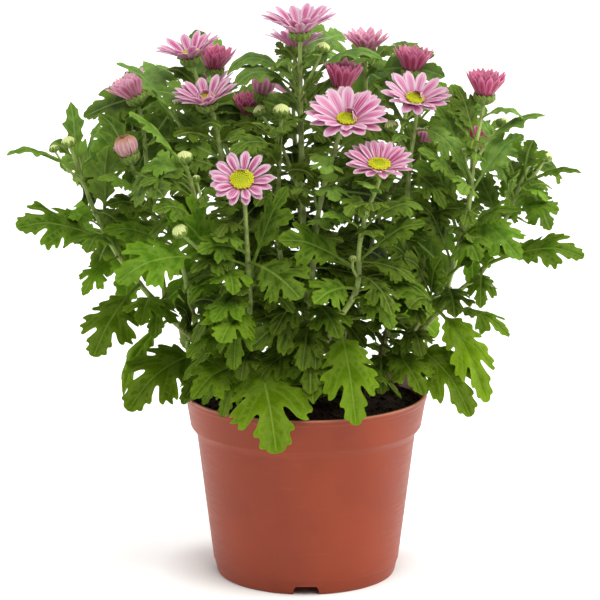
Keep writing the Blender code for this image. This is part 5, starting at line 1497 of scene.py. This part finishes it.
def addBud(batch, base, axis, radius, name):
    draw = random.Random("bud " + name)
    heights = np.array((-0.1, 0.05, 0.25, 0.5, 0.8, 1.05, 1.25, 1.4, 1.5)) * radius
    radii = np.array((0.36, 0.66, 0.88, 0.99, 0.99, 0.86, 0.64, 0.36, 0.12)) * radius
    sides, folds = 36, max(9, round(radius * 4))
    fold = np.cos(folds * ringAngles(sides))
    kind = np.zeros((len(heights), sides, 3))
    kind[:, :, 0] = (0.5 + 0.5 * fold)[None] * smoothstep(heights / radius, 0.3, 1.0)[:, None]
    kind[:, :, 2] = 1.0
    kind = np.concatenate([kind.reshape(-1, 3), [(0, 0, 1), (0.5, 0, 1)]])
    body = turnedShell(base, axis, list(zip(heights, radii)), sides, 1 + 0.045 * fold)
    addShell(batch, *body, kind=kind)
    surface = (heights, radii)
    size = 1.0 if radius > 2.8 else 1.25
    rows = ((0.2, 0.95 * size, 9, 0.0), (0.05, 0.72, 8, 0.12), (-0.08, 0.42, 6, 0.25))
    for row, (low, high, count, proud) in enumerate(rows):
        for k in range(count):
            angle = (k + 0.5 * row + draw.uniform(-0.12, 0.12)) * math.tau / count
            end = min(1.4, high + draw.uniform(-0.08, 0.06)) * radius
            addScale(batch, base, axis, surface, low * radius, end, angle, math.pi / count * 1.1, proud,
                     draw)


bractBatches = batchEachStem()
for name, shoot in shoots.items():
    batch = bractBatches[shoot["stem"]]
    if isinstance(shoot["tip"], str):
        addCalyx(batch, blooms[shoot["tip"]], shoot["tip"])
    else:
        samples = shoot["coarse"]
        along = samples[-1] - samples[-2]
        addBud(batch, samples[-1] - unit(along) * 0.8, unit(along + upward * 6), shoot["tip"], name)
makePieces(bractBatches, "_bracts", bractMaterial)


# Ray florets: strap petals with two grooves and a toothed tip
petalLook = {"thick": 0.26, "trough": 0.04, "groove": 0.02, "teeth": 0.022}


def addPetal(batch, bloom, angle, start, startHeight, length, wide, lift, bow, roll, rows, columns, tone):
    axis = bloom["axis"]
    side, other = axisFrame(axis)
    radial = side * math.cos(angle) + other * math.sin(angle)
    sideways = np.cross(axis, radial)
    along = np.linspace(0, 1, rows) ** 0.9
    across = np.linspace(-1, 1, columns)
    fine = np.linspace(0, 1.08, 55)
    slope = lift + bow[0] + (bow[1] - bow[0]) * fine
    travel = np.cumsum(np.concatenate([[0], np.diff(fine)]) * length)
    outs = np.concatenate([[0], np.cumsum(np.cos(slope[:-1]) * np.diff(travel))])
    ups = np.concatenate([[0], np.cumsum(np.sin(slope[:-1]) * np.diff(travel))])
    s, u = np.meshgrid(along, across, indexing="ij")
    tip = (0.05 * (1 - u * u) + petalLook["teeth"] * np.cos(3 * math.pi * u)) * smoothstep(s, 0.55, 1.0)
    reach = np.clip(s * 0.97 + tip - 0.02 * s, 0, 1.07)
    out, up = np.interp(reach, fine, outs), np.interp(reach, fine, ups)
    tilt = np.interp(reach, fine, slope)
    width = np.interp(s, (0, 0.12, 0.3, 0.5, 0.68, 0.82, 0.92, 1.0),
                      (0.36, 0.52, 0.78, 0.95, 1.0, 0.94, 0.78, 0.42)) * wide / 2
    firm = smoothstep(s, 0.0, 0.3)
    high = wide * (petalLook["trough"] * u * u + petalLook["groove"] * np.cos(3 * math.pi * u)) * firm
    twist = roll * s
    sway = u * width * np.cos(twist)
    high = high + u * width * np.sin(twist)
    base = bloom["centre"] + axis * startHeight + radial * start
    grid = (base + radial * (out - np.sin(tilt) * high)[..., None]
            + axis * (up + np.cos(tilt) * high)[..., None] + sideways * sway[..., None])
    verts, tris = sheetShell(grid, petalLook["thick"] * (1 - 0.45 * s))
    kind = np.stack([u, s, np.full(s.shape, tone)], 2).reshape(-1, 3)
    addShell(batch, verts, tris, kind=np.concatenate([kind, kind]))


def addOpenRays(batch, bloom, name):
    draw = random.Random("rays " + name)
    length = (bloom["radius"] - bloom["hub"]) / math.cos(bloom["lift"]) + bloom["hub"] * 0.14
    outer, inner = round(bloom["rays"] * 0.70), round(bloom["rays"] * 0.62)
    turn = draw.uniform(0, math.tau)
    rows = ((outer, 0.75, -0.07, 1.0), (inner, 1.15, 0.10, 0.93))
    for row, (count, height, lift, share) in enumerate(rows):
        for k in range(count):
            angle = turn + (k + 0.5 * row + draw.uniform(-0.10, 0.10)) * math.tau / count
            petal = length * share * draw.uniform(0.94, 1.04)
            addPetal(batch, bloom, angle, bloom["hub"] * 0.86, height + draw.uniform(-0.05, 0.05), petal,
                     length * bloom["wide"] * draw.uniform(0.92, 1.08),
                     bloom["lift"] + lift + draw.uniform(-0.07, 0.07),
                     (0.16, -0.27 + draw.uniform(-0.1, 0.1)), draw.uniform(-0.22, 0.22), 10, 7,
                     min(1, max(0, bloom["tone"] + draw.uniform(-0.35, 0.35))))
    for side, count in bloom["quills"]:  # short inner rays that lean over the disc, as in the photo
        for k in range(count):
            angle = math.radians(side) + (k - (count - 1) / 2) * 0.42 + draw.uniform(-0.08, 0.08)
            addPetal(batch, bloom, angle, bloom["hub"] * 0.82, 1.7, length * draw.uniform(0.26, 0.36),
                     length * 0.22, math.radians(draw.uniform(78, 100)), (-0.1, 0.7),
                     draw.uniform(-0.3, 0.3), 8, 5, draw.uniform(0.6, 1.0))
    core = [(0.3, bloom["hub"] * 0.8), (0.6, bloom["hub"] * 0.9), (1.5, bloom["hub"] * 0.88)]
    addShell(batch, *turnedShell(bloom["centre"], bloom["axis"], core, 24), kind=(0.0, 0.0, 0.3))


def addClosedRays(batch, bloom, name):
    draw = random.Random("rays " + name)
    length, hub = bloom["length"], bloom["hub"]
    globe = bloom["lift"] > math.radians(70)
    rows = ((13, -0.04, 1.0, 0.55, 0.90), (12, 0.06, 0.97, 0.8, 0.76), (9, 0.20, 0.88, 1.0, 0.58),
            (7, 0.30, 0.76, 1.1, 0.38))
    bow = (-0.62, 1.05) if globe else (0.02, -0.02)
    turn = draw.uniform(0, math.tau)
    for row, (count, lift, share, height, place) in enumerate(rows):
        for k in range(count):
            angle = turn + (k + 0.5 * row + draw.uniform(-0.14, 0.14)) * math.tau / count
            petal = (length + 0.9) * share * draw.uniform(0.93, 1.04)
            bend = (bow[0], bow[1] + draw.uniform(-0.08, 0.08))
            addPetal(batch, bloom, angle, hub * place, height, petal, length * 0.33 * draw.uniform(0.9, 1.1),
                     bloom["lift"] + lift + draw.uniform(-0.05, 0.05), bend, draw.uniform(-0.25, 0.25),
                     8, 5, draw.random())
    core = [(0.3, hub * 0.8), (1.2, hub * 0.9), (length * 0.3, hub * 0.72), (length * 0.42, hub * 0.3)]
    addShell(batch, *turnedShell(bloom["centre"], bloom["axis"], core, 20), kind=(0.0, 0.1, 0.3))


for name, bloom in blooms.items():
    batch = newBatch()
    if bloom["open"]:
        addOpenRays(batch, bloom, name)
        makePiece(name + "_petals", batch, rayMaterials["pink"], (name + "_rays",))
    else:
        addClosedRays(batch, bloom, name)
        material = rayMaterials[bloom["tint"]]
        makePiece(name + "_petals", batch, material, (name + "_rays",))
print("ray florets made")


# Disc florets: little tubes in two sets of spirals, the outer ones open
discLook = {"count": 104, "height": 1.0, "sides": 6}


def addDisc(batch, bloom, name):
    draw = random.Random("disc " + name)
    radius, axis = bloom["hub"] - plan["gap"], bloom["axis"]
    side, other = axisFrame(axis)
    base = bloom["centre"] + axis * 1.5

    def dome(r):
        return 1.5 * math.sqrt(max(0.0, 1 - 0.82 * (r / radius) ** 2))

    rings = [(0.0, radius * 0.9)]
    rings += [(dome(radius * s) - 0.1, radius * s) for s in (0.97, 0.8, 0.6, 0.4, 0.2)]
    addShell(batch, *turnedShell(base, axis, rings, 24), kind=(0.2, 0.0, 0.5))
    sides = discLook["sides"]
    angles, shape = ringAngles(sides), closedTris(4, sides)
    for k in range(discLook["count"]):
        share = math.sqrt((k + 0.5) / discLook["count"])
        turn = k * math.radians(137.5077)
        r = radius * 0.95 * share
        out = side * math.cos(turn) + other * math.sin(turn)
        lean = unit(axis + out * (0.55 * share))
        a, b = axisFrame(lean)
        opened = float(smoothstep(share + draw.uniform(-0.06, 0.06), 0.35, 0.75))
        size = radius / math.sqrt(discLook["count"]) * (0.72 + 0.18 * opened)
        high = discLook["height"] * (0.55 + 0.5 * opened) * draw.uniform(0.85, 1.15)
        foot = base + axis * (dome(r) - 0.25) + out * r
        rings = ((0.0, 0.7), (0.55, 0.78), (0.86, 1.0 + 0.12 * opened), (1.0, 0.62))
        top, tone = (0.86, 0.7) if opened > 0.5 else (1.12, 1.0)  # an open one is hollow at its top
        circle = a * np.cos(angles)[:, None] + b * np.sin(angles)[:, None]
        verts = [foot + lean * (high * h) + circle * size * w for h, w in rings]
        verts = np.concatenate(verts + [[foot], [foot + lean * high * top]])
        heights = np.concatenate([np.repeat([h for h, w in rings], sides), [0.0, tone]])
        kind = np.stack([np.full(len(verts), opened), heights, np.full(len(verts), draw.random())], 1)
        addShell(batch, verts, shape, kind=kind)


for name, bloom in blooms.items():
    if bloom["open"]:
        batch = newBatch()
        addDisc(batch, bloom, name)
        makePiece(name + "_florets", batch, discMaterial, (name + "_disc",), sharpAngle=60)
print("disc florets made")


# Pot: moulded, with a stepped rim, a step line above the foot, four notches and four drain holes
potSize = {"rim": 60.0, "height": 92.0, "wall": 1.4, "foot": 44.2, "floorUnder": 4.8, "floorTop": 6.2,
           "rimDrop": 16.5, "rimFlare": 2.8, "shoulderDrop": 3.5, "wallFoot": 45.3, "slope": 0.1245,
           "stepAt": 7.0, "notchWide": 13.4, "notchNarrow": 11.5, "notchHigh": 4.4, "drain": 4.0,
           "drainAt": 30.0, "sides": 144}


def wallRadius(height):
    return potSize["wallFoot"] + potSize["slope"] * height


def roundedProfile(points, steps=4):  # corners as (radius, height, fillet)
    made = []
    for k, (r, z, fillet) in enumerate(points):
        if fillet == 0 or k in (0, len(points) - 1):
            made.append((r, z))
            continue
        here = np.array((r, z))
        before, after = np.array(points[k - 1][:2]), np.array(points[k + 1][:2])
        reachIn = min(fillet, np.linalg.norm(before - here) * 0.48)
        reachOut = min(fillet, np.linalg.norm(after - here) * 0.48)
        a, b = here + unit(before - here) * reachIn, here + unit(after - here) * reachOut
        for step in range(steps + 1):
            t = step / steps
            made.append(tuple(a * (1 - t) ** 2 + here * 2 * t * (1 - t) + b * t * t))
    return made


def latheMesh(profile, sides):  # closed turned body; the profile starts and ends on the axis
    inner, angles = profile[1:-1], ringAngles(sides)
    verts = [np.stack([r * np.cos(angles), r * np.sin(angles), np.full(sides, z)], 1) for r, z in inner]
    verts += [[(0, 0, profile[0][1])], [(0, 0, profile[-1][1])]]
    return np.concatenate(verts), closedTris(len(inner), sides)


def solidObject(name, verts, tris):
    mesh = bpy.data.meshes.new(name)
    points = [tuple(v * mm) for v in np.asarray(verts, float)]
    mesh.from_pydata(points, [], [tuple(map(int, t)) for t in tris])
    turnOutwards(mesh)
    return addObject(name, mesh)


def cutAway(body, cutters):
    for cutter in cutters:
        step = body.modifiers.new("cut", "BOOLEAN")
        step.operation, step.solver, step.object = "DIFFERENCE", "EXACT", cutter
    depsgraph = bpy.context.evaluated_depsgraph_get()
    mesh = bpy.data.meshes.new_from_object(body.evaluated_get(depsgraph))
    body.modifiers.clear()
    old = body.data
    body.data = mesh
    bpy.data.meshes.remove(old)
    for cutter in cutters:
        bpy.data.objects.remove(cutter)


def makePot():
    p = potSize
    foot, rim, top, wall, step = p["foot"], p["rim"], p["height"], p["wall"], p["stepAt"]
    rimFoot, neck = top - p["rimDrop"], rim - p["rimFlare"]
    shoulder = rimFoot - p["shoulderDrop"]
    corners = [
        (0, 0.0, 0), (8.0, 0, 0.8), (10.0, p["floorUnder"], 0.8), (foot - 3.4, p["floorUnder"], 0.8),
        (foot - 1.6, 0, 0.5), (foot - 0.5, 0, 0.4), (foot + 0.3, 1.2, 0.6),
        (wallRadius(step) - 0.4, step - 0.15, 0.12), (wallRadius(step), step + 0.3, 0.3),
        (wallRadius(shoulder), shoulder, 1.6), (neck, rimFoot, 1.0), (neck + 0.12, rimFoot + 0.9, 0.4),
        (rim - 0.55, top - 3.2, 0.4), (rim, top - 2.5, 0.5), (rim, top - 0.5, 0.5), (rim - 0.7, top, 0.4),
        (rim - wall, top - 0.1, 0.4), (neck - wall, rimFoot + 0.6, 1.2),
        (wallRadius(shoulder) - wall, shoulder, 1.4), (wallRadius(p["floorTop"]) - wall, p["floorTop"], 2.0),
        (0, p["floorTop"], 0)]
    body = solidObject("pot_body", *latheMesh(roundedProfile(corners), p["sides"]))
    cutters = []
    for quarter in range(4):
        angle = math.tau * quarter / 4
        out = np.array((math.cos(angle), math.sin(angle), 0))
        across = np.array((-out[1], out[0], 0))
        low, high, roof = p["notchWide"] / 2, p["notchNarrow"] / 2, p["notchHigh"]
        section = [(-low, -1.0), (low, -1.0), (high + 0.35, roof - 1.8)]
        section += [(high - 1.5 + 1.6 * math.cos(t), roof - 1.6 + 1.6 * math.sin(t))
                    for t in np.linspace(0.2, 1.5, 6)]
        section += [(-x, z) for x, z in section[:1:-1]]
        verts = [out * reach + across * x + upward * z for reach in (foot - 6, foot + 6) for x, z in section]
        verts += [out * reach + upward * 1.0 for reach in (foot - 6, foot + 6)]
        cutters.append(solidObject("notch", verts, closedTris(2, len(section))))
        angle += math.tau / 8
        middle = np.array((math.cos(angle), math.sin(angle), 0)) * p["drainAt"]
        hole = tubeShell([middle + upward * (p["floorUnder"] - 2), middle + upward * (p["floorTop"] + 1),
                          middle + upward * (p["floorTop"] + 4)], [p["drain"]] * 3, 28)
        cutters.append(solidObject("drain", *hole))
    cutAway(body, cutters)
    mesh = body.data
    # a painted highlight along the rounded top edge of the rim, kept in the pot's kind values
    highlightValues = mesh.attributes.new("kind", "FLOAT_VECTOR", "POINT")
    heights = np.array([v.co.z for v in mesh.vertices]) / mm
    spread = np.array([math.hypot(v.co.x, v.co.y) for v in mesh.vertices]) / mm
    paintedRimHighlight = smoothstep(heights, top - 1.2, top - 0.3) * smoothstep(spread, 57.5, 58.5)
    rows = np.stack([paintedRimHighlight, paintedRimHighlight * 0, paintedRimHighlight * 0], 1)
    highlightValues.data.foreach_set("vector", rows.astype(np.float32).ravel())
    mesh.materials.clear()
    mesh.materials.append(potMaterial)
    mesh.shade_smooth()
    mesh.set_sharp_from_angle(angle=math.radians(35))
    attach(body, "root")
    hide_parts("pot")
    print("pot made:", len(mesh.polygons), "faces")


makePot()


# Peat: a crumbly surface just under the rim, with loose crumbs on it
peatSize = {"edge": 86.0, "mound": 4.0, "top": 57.4, "ringStep": 1.5, "sides": 112, "crumbs": 1300}


def peatHeight(x, y):
    r = math.hypot(x, y) / peatSize["top"]
    spot = Vector((x, y, 0.0))
    rough = noise.noise(spot / 11) * 1.1 + noise.noise(spot / 4) * 0.7 + noise.noise(spot / 1.7) * 0.4
    return peatSize["edge"] + peatSize["mound"] * (1 - r * r) + rough - 0.3


def makePeat():
    p = potSize
    rimFoot = p["height"] - p["rimDrop"]
    shoulder = rimFoot - p["shoulderDrop"]
    inset = p["wall"] + plan["gap"]
    sides = peatSize["sides"]
    side = [(wallRadius(p["floorTop"]) - inset, p["floorTop"] + plan["gap"]),
            (wallRadius(shoulder) - inset, shoulder + 0.4),
            (p["rim"] - p["rimFlare"] - inset, rimFoot + 0.6)]
    angles = ringAngles(sides)
    verts = [(r * math.cos(a), r * math.sin(a), z) for r, z in side for a in angles]
    radii = np.arange(peatSize["top"], 1.0, -peatSize["ringStep"])
    for r in radii:
        verts += [(r * math.cos(a), r * math.sin(a), peatHeight(r * math.cos(a), r * math.sin(a)))
                  for a in angles]
    verts += [(0, 0, side[0][1]), (0, 0, peatHeight(0, 0))]
    batch = newBatch()
    addShell(batch, verts, closedTris(len(side) + len(radii), sides))
    draw = random.Random("crumbs")
    lump = bmesh.new()
    bmesh.ops.create_icosphere(lump, subdivisions=1, radius=1.0)
    ball = np.array([v.co for v in lump.verts])
    faces = np.array([[v.index for v in f.verts] for f in lump.faces])
    lump.free()
    for k in range(peatSize["crumbs"]):
        r, a = math.sqrt(draw.random()) * (peatSize["top"] - 1.5), draw.uniform(0, math.tau)
        x, y = r * math.cos(a), r * math.sin(a)
        size = 0.35 + 1.1 * draw.random() ** 2.5
        jitter = np.array([draw.uniform(0.7, 1.2) for v in ball])[:, None]
        stretch = np.array([draw.uniform(0.7, 1.4), draw.uniform(0.7, 1.4), draw.uniform(0.5, 0.9)])
        turn = draw.uniform(0, math.tau)
        shape = ball * jitter * stretch * size
        shape = np.stack([shape[:, 0] * math.cos(turn) - shape[:, 1] * math.sin(turn),
                          shape[:, 0] * math.sin(turn) + shape[:, 1] * math.cos(turn), shape[:, 2]], 1)
        addShell(batch, shape + (x, y, peatHeight(x, y) + size * 0.25), faces)
    makePiece("potting_peat", batch, peatMaterial, ("soil",), sharpAngle=60)
    print("peat made:", sum(len(t) for t in batch["tris"]), "triangles")


makePeat()


# Stage: pale floor that glows round the pot as painted light, soft light, and the camera where the photo was
# taken
stage = {"floorSize": 60.0, "floor": "#F4F4F3", "world": "#FFFFFF",
         "horizon": 0.04, "zenith": 0.62, "glow": 0.36, "farGlow": 0.3}


def areaLight(name, place, target, size, power, tint="#FFFFFF"):
    light = bpy.data.lights.new(name, "AREA")
    light.shape, light.size, light.energy = "SQUARE", size, power
    light.color = srgb(tint)[:3]
    lamp = addObject(name, light)
    lamp.location = place
    lamp.rotation_euler = (Vector(target) - Vector(place)).to_track_quat("-Z", "Y").to_euler()


def makeStage():
    mesh = bpy.data.meshes.new("studioFloor")
    h = stage["floorSize"] / 2
    mesh.from_pydata([(-h, -h, 0), (h, -h, 0), (h, h, 0), (-h, h, 0)], [], [(0, 1, 2, 3)])
    floor = addObject("studio_floor", mesh)
    material, tree, shader = newMaterial(
        "glowingStudioFloor", Roughness=0.9, Specular_IOR_Level=0.1, Base_Color=srgb(stage["floor"]),
        Emission_Color=srgb("#FFFFFF"))
    # The floor glows: not at all under the pot, rising from 44 to 75 mm out. This painted light washes out
    # the pot's shadow and keeps the notches dark; farther out a further glow keeps the distant floor evenly
    # white
    place = addNode(tree, "ShaderNodeTexCoord").outputs["Object"]
    far = addNode(tree, "ShaderNodeVectorMath", links={0: place}, operation="LENGTH").outputs["Value"]
    near = addNode(tree, "ShaderNodeMapRange", {1: 0.044, 2: 0.075, 3: 0.0, 4: stage["glow"]},
                   {0: far}).outputs[0]
    back = addNode(tree, "ShaderNodeMapRange", {1: 0.3, 2: 1.6, 3: 0.0, 4: stage["farGlow"]},
                   {0: far}).outputs[0]
    glow = addNode(tree, "ShaderNodeMath", links={0: near, 1: back}, operation="ADD").outputs[0]
    connect(shader, Emission_Strength=glow)
    mesh.materials.append(material)
    world = bpy.data.worlds.new("studioWorld")
    world.use_nodes = True
    background = world.node_tree.nodes["Background"]
    background.inputs[0].default_value = srgb(stage["world"])
    ray = addNode(world.node_tree, "ShaderNodeTexCoord").outputs["Generated"]
    rise = addNode(world.node_tree, "ShaderNodeSeparateXYZ", links={0: ray}).outputs[2]
    glow = addNode(world.node_tree, "ShaderNodeMapRange",
                   {1: 0.0, 2: 1.0, 3: stage["horizon"], 4: stage["zenith"]}, {0: rise}).outputs[0]
    connect(background, Strength=glow)
    bpy.context.scene.world = world
    areaLight("key", (0.6, -0.9, 1.7), (0, 0, 0.15), 1.6, 36.0, "#FFFEFA")
    areaLight("leftEdge", (-1.5, 0.5, 0.5), (0, 0, 0.15), 0.8, 17.0)
    areaLight("rightEdge", (1.5, 0.3, 0.6), (0, 0, 0.15), 0.8, 19.0)
    bpy.context.scene.view_settings.view_transform = "Standard"
    lens = bpy.data.cameras.new("photoCamera")
    lens.lens, lens.sensor_width = 199.68, 36.0
    lens.clip_end = 100.0
    camera = addObject("photoCamera", lens)
    camera.location = (-0.003, -1.600, 0.497)
    camera.rotation_euler = (math.radians(90 - 12.65), 0, 0)
    bpy.context.scene.camera = camera


makeStage()
print("stage made")
